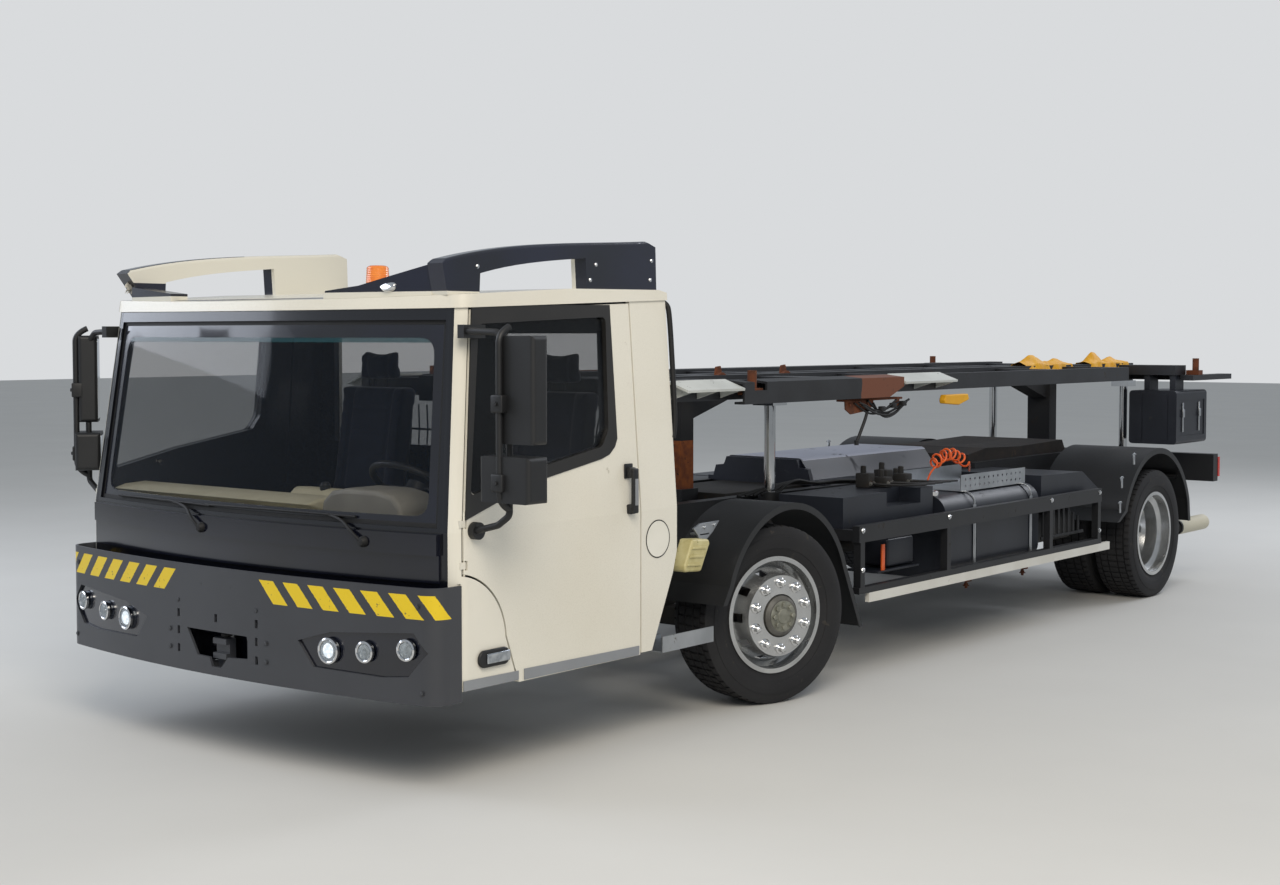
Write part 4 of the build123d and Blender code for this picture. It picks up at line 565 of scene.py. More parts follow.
# Broken glass-fibre laminate, pale and fibrous.
TORN = Finish("torn_laminate", "#D9D5C8", "#8F8C84", 18, 0.8, 4, 0.6, (Soil("#2A2A2C", 0.25, 25),))
# Glass-fibre engine shell: its top is painted pale bluish grey, a painted highlight of the sky light falling on
# it; its flanks stay dark.
ENGINE_SHELL_PAINTED_TOP = Zoned("engine_shell", "#12151F", "#1B1F2C", 500, 0.4, 4, 0.08, (Soil("#3B3C40", 0.2, 160, 0.8), ),
    other="#A6AABA", zones=(((Measure.HEIGHT, MORE, 1.104), (Measure.RAGGED, MORE, aft(1.60))), ))
DARK_SHELL = Finish("dark_shell", "#171A22", "#1E222B", 300, 0.45, 3, 0.06, (Soil("#3A3835", 0.15, 120, 0.85),))
# Exhaust steel, black with heat, its tailpipe painted cream.
TAILPIPE = Zoned("tailpipe_enamel", "#1C1B1B", "#232120", 120, 0.6, 3, 0.08, (Soil("#6A5A45", 0.10, 50, 0.9), ),
    other="#C9C3AE", zones=(((Measure.RAGGED, MORE, 3.60), ), ))
# Coir mat on the deck, brown and shaggy.
MAT = Finish("deck_mat", "#2B2420", "#1D1A19", 90, 0.9, 5, 0.6, (Soil("#4B3B2C", 0.25, 110, 0.95),))
# Polyurethane air hose, waxy orange; coated yellow cloth, matt and smudged.
HOSE = Finish("coiled_hose_pu", "#E2571B", "#EE6A26", 60, 0.3, 3, 0.02)
YELLOW = Finish("yellow_cover", "#E3A916", "#D89A10", 120, 0.6, 3, 0.2, (Soil("#8A6A20", 0.12, 60, 0.9),))
# Bare steel, rusted through; the masts are rusty below and coated above, the skirts rusty behind.
RUSTY = Finish("rusted_steel", "#6E3B20", "#4C2A19", 60, 0.92, 3, 0.5, (Soil("#8A5430", 0.3, 30, 0.95),))
MAST = Zoned("mast_coat", "#93501F", "#6B361B", 50, 0.85, 3, 0.4, (Soil("#26201D", 0.25, 45, 0.95), ),
    other="#17181B", zones=(((Measure.HEIGHT, MORE, 1.264), ), ((Measure.ALONG, MORE, 0.50), )))
SKIRT = Zoned("skirt_coat", "#17181B", "#202226", 200, 0.6, 4, 0.1, (Soil("#33302D", 0.2, 140, 0.9), ),
    other="#6A3A20", zones=(((Measure.RAGGED, MORE, aft(0.80)), ), ))
# White two-pack paint on rolled steel, chipped along its edges.
WHITE_RAIL = Finish("guard_rail_white", "#DAD8D0", "#CFCCC2", 300, 0.42, 4, 0.05, (Soil("#8B857A", 0.10, 70,
    0.85), Soil("#4A4038", 0.04, 25, 0.9)))
# Sign foil, smooth and white; printed ceramic round the door glass, satin; old polyethylene, yellowed.
SIGN_WHITE = Finish("sign_foil", "#EAE7DC", "#E4E1D5", 300, 0.35, 3, 0.01)
DOOR_FRAME = Finish("window_ceramic", "#22211F", "#292725", 300, 0.32, 3, 0.02)
TANK_CREAM = Finish("aged_polyethylene", "#C9C08F", "#B5AA74", 60, 0.45, 3, 0.1, (Soil("#6B6238", 0.2, 30, 0.7),))


# ---- modelling helpers
def clear_selection() -> None:
    """Leaves edit mode and deselects everything."""
    if bpy.context.object and bpy.context.object.mode != "OBJECT":
        bpy.ops.object.mode_set(mode="OBJECT")
    bpy.ops.object.select_all(action="DESELECT")


def pick(piece: Piece) -> None:
    """Makes a piece the only selected and active object."""
    clear_selection()
    piece.select_set(True)
    bpy.context.view_layer.objects.active = piece


def edit_all(piece: Piece) -> None:
    """Opens a piece in edit mode with its whole mesh selected."""
    pick(piece)
    bpy.ops.object.mode_set(mode="EDIT")
    bpy.ops.mesh.select_all(action="SELECT")


def new_piece(name: str) -> Piece:
    """Names the object that was just added, and its data.

    Args:
        name: The object's name.

    Returns:
        The active object under its new name.
    """
    piece = bpy.context.object
    piece.name = piece.data.name = name
    return piece


def placed(name: str, data: bpy.types.ID) -> Piece:
    """Puts an object with data of its own into the scene under a name.

    Args:
        name: The object's name, and its data's.
        data: A mesh, curve, lamp or camera that no other object uses.

    Returns:
        The new object.
    """
    piece = bpy.data.objects.new(name, data)
    piece.data.name = name
    bpy.context.scene.collection.objects.link(piece)
    return piece


def apply_modifier(piece: Piece, kind: str, **settings: object) -> None:
    """Adds a modifier with its settings to a piece and applies it.

    Args:
        piece: A mesh object.
        kind: The modifier's type.
        settings: Its properties, in the order in which they are set.
    """
    pick(piece)
    made = piece.modifiers.new(kind.lower(), kind)
    for key, value in settings.items():
        setattr(made, key, value)
    bpy.ops.object.modifier_apply(modifier=made.name)


def settle(piece: Piece, angle: float = 35.0) -> Piece:
    """Applies a piece's place, closes its mesh, turns its faces outwards and smooths it by angle.

    Args:
        piece: A mesh object.
        angle: Edges sharper than this many degrees stay crisp.

    Returns:
        The same piece.
    """
    pick(piece)
    bpy.ops.object.transform_apply(location=True, rotation=True, scale=True)
    edit_all(piece)
    bpy.ops.mesh.remove_doubles(threshold=WELD)
    bpy.ops.mesh.normals_make_consistent(inside=False)
    bpy.ops.object.mode_set(mode="OBJECT")
    bpy.ops.object.shade_smooth_by_angle(angle=math.radians(angle))
    return piece


def bevel_all(piece: Piece, width: float, segments: int = 2, sharp_deg: float = 30.0) -> None:
    """Rounds every sharp edge of a piece with a bevel that is applied.

    Args:
        piece: A mesh object.
        width: The bevel's width in metres, or 0 for none.
        segments: Steps across the round.
        sharp_deg: The angle from which an edge is sharp.
    """
    if width > 0:
        apply_modifier(piece, "BEVEL", width=width, segments=segments, limit_method="ANGLE",
            angle_limit=math.radians(sharp_deg))


def slab(name: str, low: Point, high: Point, bevel: float = 0.003, segments: int = 2) -> Piece:
    """A rectangular piece between two corners, with its edges rounded.

    Args:
        name: The piece's name.
        low: One corner in metres.
        high: The opposite corner in metres.
        bevel: Edge round in metres.
        segments: Steps across each round.

    Returns:
        The new piece.
    """
    clear_selection()
    bpy.ops.mesh.primitive_cube_add(size=1, location=[(a + b) / 2 for a, b in zip(low, high)])
    piece = new_piece(name)
    piece.scale = [abs(b - a) for a, b in zip(low, high)]
    pick(piece)
    bpy.ops.object.transform_apply(location=True, rotation=True, scale=True)
    bevel_all(piece, bevel, segments)
    return settle(piece)


def prism(name: str, outline: Sequence[Point], axis: Axis, start: float, end: float, bevel: float = 0.0,
        segments: int = 2) -> Piece:
    """A closed outline carried along an axis: a filled ring is set to the outline and extruded.

    Args:
        name: The piece's name.
        outline: Points in the plane across the axis, in X, Y, Z order without the axis.
        axis: The direction of the extrusion.
        start: Where the piece starts along the axis.
        end: Where it ends.
        bevel: Edge round in metres.
        segments: Steps across each round.

    Returns:
        The new piece.
    """
    clear_selection()
    bpy.ops.mesh.primitive_circle_add(vertices=len(outline), fill_type="NGON")
    piece = new_piece(name)
    for corner, point in zip(piece.data.vertices, outline):
        place = list(point)
        place.insert(axis.value, start)
        corner.co = place
    edit_all(piece)
    reach = [0.0, 0.0]
    reach.insert(axis.value, end - start)
    bpy.ops.mesh.extrude_region_move(TRANSFORM_OT_translate={"value": reach})
    settle(piece)
    bevel_all(piece, bevel, segments)
    return settle(piece)


def lathe(name: str, profile: Sequence[Point], centre: Point, axis: Axis = Axis.X, steps: int = 48) -> Piece:
    """A profile of (along, radius) points spun about an axis through centre.

    Args:
        name: The piece's name.
        profile: Points along the axis and away from it, in metres, closed where it doesn't touch the axis.
        centre: The point on the axis where along is 0.
        axis: The axis of the spin.
        steps: Divisions round the axis.

    Returns:
        The new piece.
    """
    clear_selection()
    bpy.ops.mesh.primitive_circle_add(vertices=len(profile), fill_type="NOTHING")
    piece = new_piece(name)
    for corner, (along, radius) in zip(piece.data.vertices, profile):
        place = list(centre)
        place[axis.value] += along
        place[(axis.value + 1) % 3] += radius
        corner.co = place
    edit_all(piece)
    line = [0.0, 0.0]
    line.insert(axis.value, 1.0)
    bpy.ops.mesh.spin(steps=steps, dupli=False, angle=math.tau, center=tuple(centre), axis=tuple(line))
    bpy.ops.mesh.select_all(action="SELECT")
    bpy.ops.mesh.remove_doubles(threshold=SEAM)
    bpy.ops.mesh.delete_loose(use_verts=True, use_edges=True, use_faces=False)
    bpy.ops.object.mode_set(mode="OBJECT")
    return settle(piece, 32)


def pipe(name: str, route: Sequence[Point], radius: float, sides: int = 4, curved: bool = True) -> Piece:
    """A round bar or hose along a route, made from a bevelled curve and closed at both ends.

    Args:
        name: The piece's name.
        route: Points in metres.
        radius: The bar's radius in metres.
        sides: Bevel resolution.
        curved: Whether the route is smoothed through its points' control line.

    Returns:
        The new mesh piece.
    """
    clear_selection()
    line = bpy.data.curves.new(name, "CURVE")
    line.dimensions = "3D"
    line.bevel_depth, line.bevel_resolution, line.use_fill_caps = radius, sides, True
    spline = line.splines.new("NURBS" if curved else "POLY")
    spline.points.add(len(route) - 1)
    for knot, point in zip(spline.points, route):
        knot.co = (*point, 1.0)
    if curved:
        spline.order_u, spline.use_endpoint_u, line.resolution_u = 3, True, 8
    pick(placed(name, line))
    bpy.ops.object.convert(target="MESH")
    return settle(bpy.context.object, 40)


def hexagon(name: str, place: Point, axis: Axis, across: float, height: float) -> Piece:
    """A bolt head: a six-sided prism with a chamfered crown, on a thin washer.

    Args:
        name: The piece's name.
        place: The centre of the seat under the washer.
        axis: The bolt's axis; the head stands towards plus, or towards minus for a negative height.
        across: Width over the corners.
        height: The head's height, with its sign.

    Returns:
        The bolt head.
    """
    corner = across / 2
    rim, seat = corner * 1.35, height * 0.25
    crown = [(height * 0.2, 0.0), (height * 0.2, corner), (height * 0.85, corner), (height, corner * 0.8),
        (height, 0.0)]
    return merge(name, [lathe(name + "_washer", [(0.0, 0.0), (0.0, rim), (seat, rim), (seat, 0.0)], place, axis,
        14), lathe(name + "_head", crown, place, axis, 6)])


def bolts(name: str, places: Iterable[Point], axis: Axis, across: float, height: float) -> list[Piece]:
    """Bolt heads of one size at several places, as hexagon makes them.

    Args:
        name: The heads' name.
        places: The centres of their seats.
        axis: Their common axis.
        across: Width over the corners.
        height: The heads' height, with its sign.

    Returns:
        The bolt heads.
    """
    return [hexagon(name, place, axis, across, height) for place in places]


def merge(name: str, pieces: Iterable[Piece]) -> Piece:
    """Joins loose parts of one fitting, each already in place, into one named object.

    Args:
        name: The joined piece's name.
        pieces: Mesh objects, each already in place.

    Returns:
        The joined piece.
    """
    pieces = list(pieces)
    clear_selection()
    for piece in pieces:
        piece.select_set(True)
    bpy.context.view_layer.objects.active = pieces[0]
    bpy.ops.object.join()
    joined = new_piece(name)
    clear_selection()
    return joined


def drop(*pieces: Piece) -> None:
    """Removes patterns and cutters that have served."""
    for piece in pieces:
        bpy.data.objects.remove(piece)


def moved(piece: Piece, name: str, shift: Point, turn: Matrix | None = None) -> Piece:
    """A copy moved, and turned about the origin first, in its own mesh.

    Args:
        piece: The piece to copy.
        name: The copy's name.
        shift: The move in metres.
        turn: A rotation before the move.

    Returns:
        The copy.
    """
    other = placed(name, piece.data.copy())
    if turn is not None:
        other.data.transform(turn)
    other.data.transform(Matrix.Translation(Vector(shift)))
    return other


def ringed(pattern: Piece, count: int) -> list[Piece]:
    """Evenly turned copies of a pattern round the X axis; the pattern itself is removed.

    Args:
        pattern: The piece to copy.
        count: How many copies go round.

    Returns:
        The copies.
    """
    copies = [moved(pattern, "copy", (0, 0, 0), Matrix.Rotation(math.tau * i / count, 4, "X"))
        for i in range(count)]
    drop(pattern)
    return copies


def about(place: Point, turn: Matrix) -> Matrix:
    """A turn or scale about a place instead of the origin."""
    return Matrix.Translation(Vector(place)) @ turn @ Matrix.Translation(-Vector(place))


def across_from(text: str) -> str:
    """The name on the right side for one on the left side."""
    return text.replace("_left", "_right")


def twin(piece: Piece) -> Piece:
    """A left piece's mirrored copy on the right, with its own mesh and its faces outwards.

    Args:
        piece: The left piece, with _left in its name.

    Returns:
        The mirrored copy, with _right in its name.
    """
    other = placed(across_from(piece.name), piece.data.copy())
    other.data.transform(Matrix.Scale(-1, 4, Vector((1, 0, 0))))
    other.data.flip_normals()
    return other


def rear_of(*points: Point) -> list[Point]:
    """Side-view points (y behind the front axle, z) in the row frame."""
    return [(aft(y), z) for y, z in points]


def rounded(outline: Sequence[Point], radius: float, steps: int = 6) -> list[Point]:
    """An outline with each of its corners rounded off.

    Args:
        outline: Its corner points.
        radius: How far from each corner the rounding starts, in metres.
        steps: Points on each rounding.

    Returns:
        The closed outline.
    """
    points = []
    for i, corner in enumerate(outline):
        tip = Vector(corner)
        start, stop = [tip + (Vector(outline[j % len(outline)]) - tip).normalized() * radius for j in (i - 1, i
            + 1)]
        for k in range(steps + 1):
            part = k / steps
            points.append(tuple(start * (1 - part) ** 2 + tip * 2 * part * (1 - part) + stop * part ** 2))
    return points


def oval(y: float, z: float, half_y: float, half_z: float, steps: int = 28) -> list[Point]:
    """A rounded slot outline in side view: straight sides between two half circles.

    Args:
        y: Its middle, behind the front axle.
        z: Its middle height.
        half_y: Half its length.
        half_z: Half its height.
        steps: Points round it.

    Returns:
        The closed outline.
    """
    angles = [math.tau * i / steps for i in range(steps)]
    return [(y + math.copysign(half_y - half_z, math.cos(a)) + half_z * math.cos(a), z + half_z * math.sin(a))
        for a in angles]


def dress(piece: Piece, finish: Surface, body: str = BASE) -> Piece:
    """Gives a piece its finish and the body it rides on, and reports it.

    Args:
        piece: A mesh object in place.
        finish: The finish that it gets.
        body: The CAD body that carries it.

    Returns:
        The same piece.
    """
    piece.data.materials.clear()
    piece.data.materials.append(finish.build())
    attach(piece, body)
    LOG.info("%s rides on %s, %d faces", piece.name, body, len(piece.data.polygons))
    return piece


def dress_both(piece: Piece, finish: Surface, body: str = BASE) -> list[Piece]:
    """Dresses a left piece and its mirrored twin on the right.

    Args:
        piece: The left piece, whose name ends in _left.
        finish: The finish for both.
        body: The body that carries the left piece.

    Returns:
        The left piece and the right one.
    """
    other = twin(piece)
    return [dress(piece, finish, body), dress(other, finish, across_from(body))]


@dataclass
class Assembly:
    frame: dict

    def paint(self, finish: Surface, *nodes: str) -> None:
        """Gives CAD nodes that stay in view their finish.

        Args:
            finish: The finish that they get.
            nodes: The nodes' names.
        """
        for node in nodes:
            thing = self.frame["nodes"][node]
            thing.data.materials.clear()
            thing.data.materials.append(finish.build())

    def front_skin(self, node: str, x: float, z: float) -> float:
        """The Y of a CAD node's front surface at x and z, found by looking back from ahead of it.

        Args:
            node: The node's name.
            x: Where to look.
            z: How high to look.

        Returns:
            The surface's Y, or a usual one where nothing is hit.
        """
        far_ahead, fallback = -8.0, aft(-2.45)
        hit, place, _, _ = self.frame["nodes"][node].ray_cast((x, far_ahead, z), (0.0, 1.0, 0.0))
        return place.y if hit else fallback

    def patch(self, node: str, name: str, outline: Sequence[Point], reach: tuple[float, float], proud: float,
            hole: Sequence[Point] | None = None) -> Piece:
        """A skin-tight band: a CAD node's own surface inside an outline, less a hole, lifted off it a little.

        Args:
            node: The CAD node whose surface the band follows.
            name: The piece's name.
            outline: The band's outer outline in front view.
            reach: Where the cut starts and ends along Y.
            proud: How far the band is lifted along its normals.
            hole: The inner outline, left open.

        Returns:
            The band.
        """
        clear_selection()
        piece = settle(placed(name, self.frame["nodes"][node].data.copy()))
        cutters = [(prism(name + "_keep", outline, Axis.Y, *reach), "INTERSECT")]
        if hole is not None:
            cutters.append((prism(name + "_drop", hole, Axis.Y, reach[0] - 0.01, reach[1] + 0.01), "DIFFERENCE"))
        for cutter, kind in cutters:
            apply_modifier(piece, "BOOLEAN", object=cutter, operation=kind, solver="EXACT")
            drop(cutter)
        edit_all(piece)
        bpy.ops.transform.shrink_fatten(value=proud)
        return settle(piece)


@dataclass
class Studio:
    """The pale floor, soft lamps, sky and camera round the truck."""

    lens_px: float = 1798.0
    centre_px: tuple[float, float] = (640.0, 421.0)
    place: tuple[float, float, float] = (6.3417, -9.4322, 1.8744)
    yaw: float = 38.58
    pitch: float = 2.75
    sensor_mm: float = 36.0
    floor_size: float = 120.0
    floor_colours: tuple[str, str] = ("#C9C8C4", "#D3D2CE")
    seen_sky: tuple[str, float] = ("#D9DBDD", 1.0)
    fill_sky: tuple[str, float] = ("#DDE4EC", 0.55)
    mottle_mm: float = 1250.0
    lamps: tuple[tuple[str, Point, Point, float, float, str], ...] = (("key", (7.5, -9.0, 8.5), (0, -1.5, 0.8),
        6.0, 900, "#FFF6E8"), ("fill", (-8.0, -7.0, 6.0), (0, -1.0, 1.0), 7.0, 450, "#EAF1FF"), ("back", (3.0,
        10.0, 8.0), (0, 1.0, 1.0), 6.0, 500, "#F4F7FF"))

    def camera(self) -> None:
        """Sets the camera where the photograph was taken."""
        eye = bpy.data.cameras.new("view")
        eye.sensor_width = self.sensor_mm
        eye.lens = self.lens_px * self.sensor_mm / PHOTO_WIDTH
        eye.shift_x = -(self.centre_px[0] - PHOTO_WIDTH / 2) / PHOTO_WIDTH
        eye.shift_y = (self.centre_px[1] - PHOTO_HEIGHT / 2) / PHOTO_WIDTH
        eye.clip_end = 200.0
        yaw, pitch = math.radians(self.yaw), math.radians(self.pitch)
        ahead = Vector((-math.sin(yaw) * math.cos(pitch), math.cos(yaw) * math.cos(pitch), -math.sin(pitch)))
        bpy.context.scene.camera = self.aim(placed("view", eye), Vector(self.place), ahead)

    def aim(self, holder: Piece, place: Vector, ahead: Vector) -> Piece:
        """Stands a camera or a lamp at a place and points it ahead.

        Args:
            holder: The camera or lamp.
            place: Where it stands.
            ahead: Which way it looks.

        Returns:
            The same object.
        """
        holder.location = place
        holder.rotation_euler = ahead.to_track_quat("-Z", "Y").to_euler()
        return holder

    def lamp(self, name: str, place: Point, target: Point, size: float, power: float, colour: str) -> None:
        """Adds one square soft lamp that points at a target.

        Args:
            name: The lamp's name.
            place: Where it hangs.
            target: What it points at.
            size: Its side in metres.
            power: Its power in watts.
            colour: Its sRGB hex colour.
        """
        light = bpy.data.lights.new(name, "AREA")
        light.shape, light.size, light.energy = "SQUARE", size, power
        light.color = linear(colour)[:3]
        self.aim(placed(name, light), Vector(place), Vector(target) - Vector(place))

    def floor(self) -> None:
        """Adds the pale floor, with a soft mottling so that it isn't one flat colour."""
        clear_selection()
        bpy.ops.mesh.primitive_grid_add(x_subdivisions=2, y_subdivisions=2, size=self.floor_size)
        ground = new_piece("studio_floor")
        material, tree, output = new_tree("studio_floor")
        place = add_node(tree, "TexCoord").outputs["Object"]
        mottle = add_node(tree, "TexNoise", {"Vector": place, "Scale": per_metre(self.mottle_mm), "Detail": 6.0})
        first, second = [linear(colour) for colour in self.floor_colours]
        tone = add_node(tree, "Mix", {0: mottle.outputs["Fac"], 6: first, 7: second}, data_type="RGBA")
        shader = add_node(tree, "BsdfPrincipled", {"Base Color": tone.outputs[2], "Roughness": 0.75})
        tree.links.new(shader.outputs[0], output.inputs[0])
        ground.data.materials.append(material)

    def sky(self) -> None:
        """Gives the world a pale even light, whiter to the camera than to the surfaces."""
        world = bpy.data.worlds.new("studio_sky")
        bpy.context.scene.world = world
        world.use_nodes = True
        tree = world.node_tree
        tree.nodes.clear()
        seen, fill = [add_node(tree, "Background", {"Color": linear(colour), "Strength": strength}).outputs[0]
            for colour, strength in (self.seen_sky, self.fill_sky)]
        mixed = add_node(tree, "MixShader", {0: add_node(tree, "LightPath").outputs["Is Camera Ray"], 1: fill,
            2: seen})
        add_node(tree, "OutputWorld", {"Surface": mixed.outputs[0]})

    def build(self) -> None:
        """Builds the whole studio."""
        self.camera()
        self.sky()
        self.floor()
        for lamp in self.lamps:
            self.lamp(*lamp)
        bpy.context.scene.view_settings.view_transform = "Standard"
        LOG.info("studio and camera in place")


# ---- wheels
@dataclass
class Wheels(Assembly):
    """Six ribbed tyres over the plain CAD ones, with the rims, hubs and nuts dressed."""

    radius: float = 0.4548
    half: float = 0.1425
    bead_half: float = 0.1155
    seat: float = 0.2845
    groove_depth: float = 0.013
    groove_half: float = 0.0045
    groove_taper: float = 0.0015
    grooves: tuple[float, ...] = (-0.088, -0.034, 0.034, 0.088)
    slot_depth: float = 0.007
    slot_pitch: int = 4
    steps: int = 240
    steer_deg: float = -16.0
    kingpin_x: float = 0.930
    reach: float = 0.180
    rear_outer_x: float = 1.101
    rear_inner_x: float = 0.770
    rear_y: float = 4.713 + AXLE_Y
    axle_z: float = 0.455
    hub_face: float = 0.1873
    cap_bolts: int = 8
    cap_circle: float = 0.058
    nuts: int = 10
    nut_circle: float = 0.1675
    nut_seat: float = 0.0220
    nut_height: float = 0.0246

    def section(self) -> list[tuple[float, float]]:
        """The tyre's closed cross-section.

        Returns:
            Points (along the axle, radius) from the left bead over the tread to the right one and back inside.
        """
        wall = [(self.bead_half, self.seat), (self.bead_half + 0.003, 0.302), (self.bead_half + 0.010, 0.318),
            (0.1345, 0.340), (0.1375, 0.3405), (0.1410, 0.362), (self.half, 0.380), (0.1405, 0.402), (0.1380,
            0.4025), (0.1350, 0.424), (0.1310, 0.4375), (0.1265, self.radius - 0.006), (0.1180,
            self.radius - 0.0015)]
        top, foot = self.radius, self.radius - self.groove_depth
        edge, floor = self.groove_half, self.groove_half - self.groove_taper
        tread = [(middle + off, r) for middle in sorted(self.grooves, reverse=True) for off, r in ((edge, top),
            (floor, foot), (-floor, foot), (-edge, top))]
        inside = [(-0.100, 0.330), (0.0, 0.400), (0.100, 0.330)]
        return wall + tread + [(-x, r) for x, r in reversed(wall)] + inside

    def tyre(self, name: str) -> Piece:
        """One tyre at the origin about X, with cross slots cut into its ribs.

        Args:
            name: The piece's name.

        Returns:
            The tyre.
        """
        piece = lathe(name, self.section(), (0, 0, 0), Axis.X, self.steps)
        edit_all(piece)
        bpy.ops.mesh.select_mode(type="FACE")
        bpy.ops.mesh.select_all(action="DESELECT")
        mesh = bmesh.from_edit_mesh(piece.data)
        per_step = math.tau / self.steps
        for face in mesh.faces:
            middle = face.calc_center_median()
            if math.hypot(middle.y, middle.z) < self.radius - 0.004 or abs(face.normal.x) > 0.5:
                continue
            stagger = self.slot_pitch // 2 if abs(middle.x) < max(self.grooves) else 0
            step = int((math.atan2(middle.z, middle.y) % math.tau) / per_step)
            face.select = (step + stagger) % self.slot_pitch == 0
        bmesh.update_edit_mesh(piece.data)
        bpy.ops.mesh.extrude_region_shrink_fatten(TRANSFORM_OT_shrink_fatten={"value": -self.slot_depth})
        return settle(piece, 30)

    def hub_set(self) -> tuple[Piece, Piece]:
        """A front hub's bolted cap and the collars and crowns of its wheel nuts, at the origin about X.

        Returns:
            The cap with its bolts, and the nut collars.
        """
        face = self.hub_face
        cap = lathe("cap", [(-0.006, 0), (-0.006, 0.079), (0.002, 0.079), (0.006, 0.072), (0.006, 0.040), (0.010,
            0.036), (0.010, 0)], (face, 0, 0))
        heads = ringed(hexagon("cap_bolt", (face + 0.005, self.cap_circle, 0), Axis.X, 0.027, 0.012),
            self.cap_bolts)
        collar = lathe("collar", [(0, 0.0165), (0, 0.027), (0.004, 0.027), (0.009, 0.0205), (0.009, 0.0165)],
            (face - self.nut_seat, 0, self.nut_circle), Axis.X, 24)
        crown = lathe("crown", [(0.0, 0.0), (0.0, 0.0155), (0.004, 0.0155), (0.010, 0.009), (0.011, 0.0)],
            (face - self.nut_seat + self.nut_height, 0, self.nut_circle), Axis.X, 16)
        studs = ringed(merge("stud", [collar, crown]), self.nuts)
        return merge("hub_cap", [cap] + heads), merge("nut_collars", studs)

    def build(self) -> None:
        """Builds the tyres and dresses the CAD rims and hubs."""
        pattern = self.tyre("tyre_pattern")
        cap, studs = self.hub_set()
        steer = Matrix.Rotation(math.radians(self.steer_deg), 4, "Z")
        for side in Side:
            word, sign = side.word, side.value
            front_body, rear_body = "wheel_front_" + word, "wheels_rear_" + word
            hub = steer @ Vector((sign * self.reach, 0, 0)) + Vector((sign * self.kingpin_x, AXLE_Y, self.axle_z))
            front = moved(pattern, "ribbed_tyre_front_" + word, hub, steer)
            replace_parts(dress(front, RUBBER, front_body), "tyre_front_" + word)
            outwards = steer if side is Side.LEFT else steer @ Matrix.Rotation(math.pi, 4, "Z")
            dress(moved(cap, "hub_cap_" + word, hub, outwards), HUB_CAP, front_body)
            dress(moved(studs, "nut_collars_" + word, hub, outwards), CHROME, front_body)
            pair = merge("ribbed_tyres_rear_" + word, [moved(pattern, "tyre", (sign * x, self.rear_y,
                self.axle_z)) for x in (self.rear_outer_x, self.rear_inner_x)])
            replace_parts(dress(pair, RUBBER, rear_body), "tyres_rear_" + word)
            self.paint(RIM, "rim_front_" + word, "rims_rear_" + word)
            self.paint(HUB, "hub_front_" + word, "hub_rear_" + word)
        drop(pattern, cap, studs)


# ---- cab
@dataclass
class CabSkin:
    """Where the cab's leaning side wall lies, for the fittings that sit on it."""

    roof: float = 2.035
    lean_in: float = 0.072

    def x(self, z: float, out: float = 0.0) -> float:
        """The wall's X at height z, plus a distance outwards."""
        return WALL_X - self.lean_in * max(0.0, (z - BELT_Z) / (self.roof - BELT_Z)) + out

    def drape(self, piece: Piece, out: float) -> None:
        """Moves a flat side-view piece, whose wall side is at X = 0, onto the wall and out from it.

        Args:
            piece: The piece, with its wall side at X = 0.
            out: How far its wall side stands off the wall.
        """
        for corner in piece.data.vertices:
            corner.co.x += self.x(corner.co.z, out)


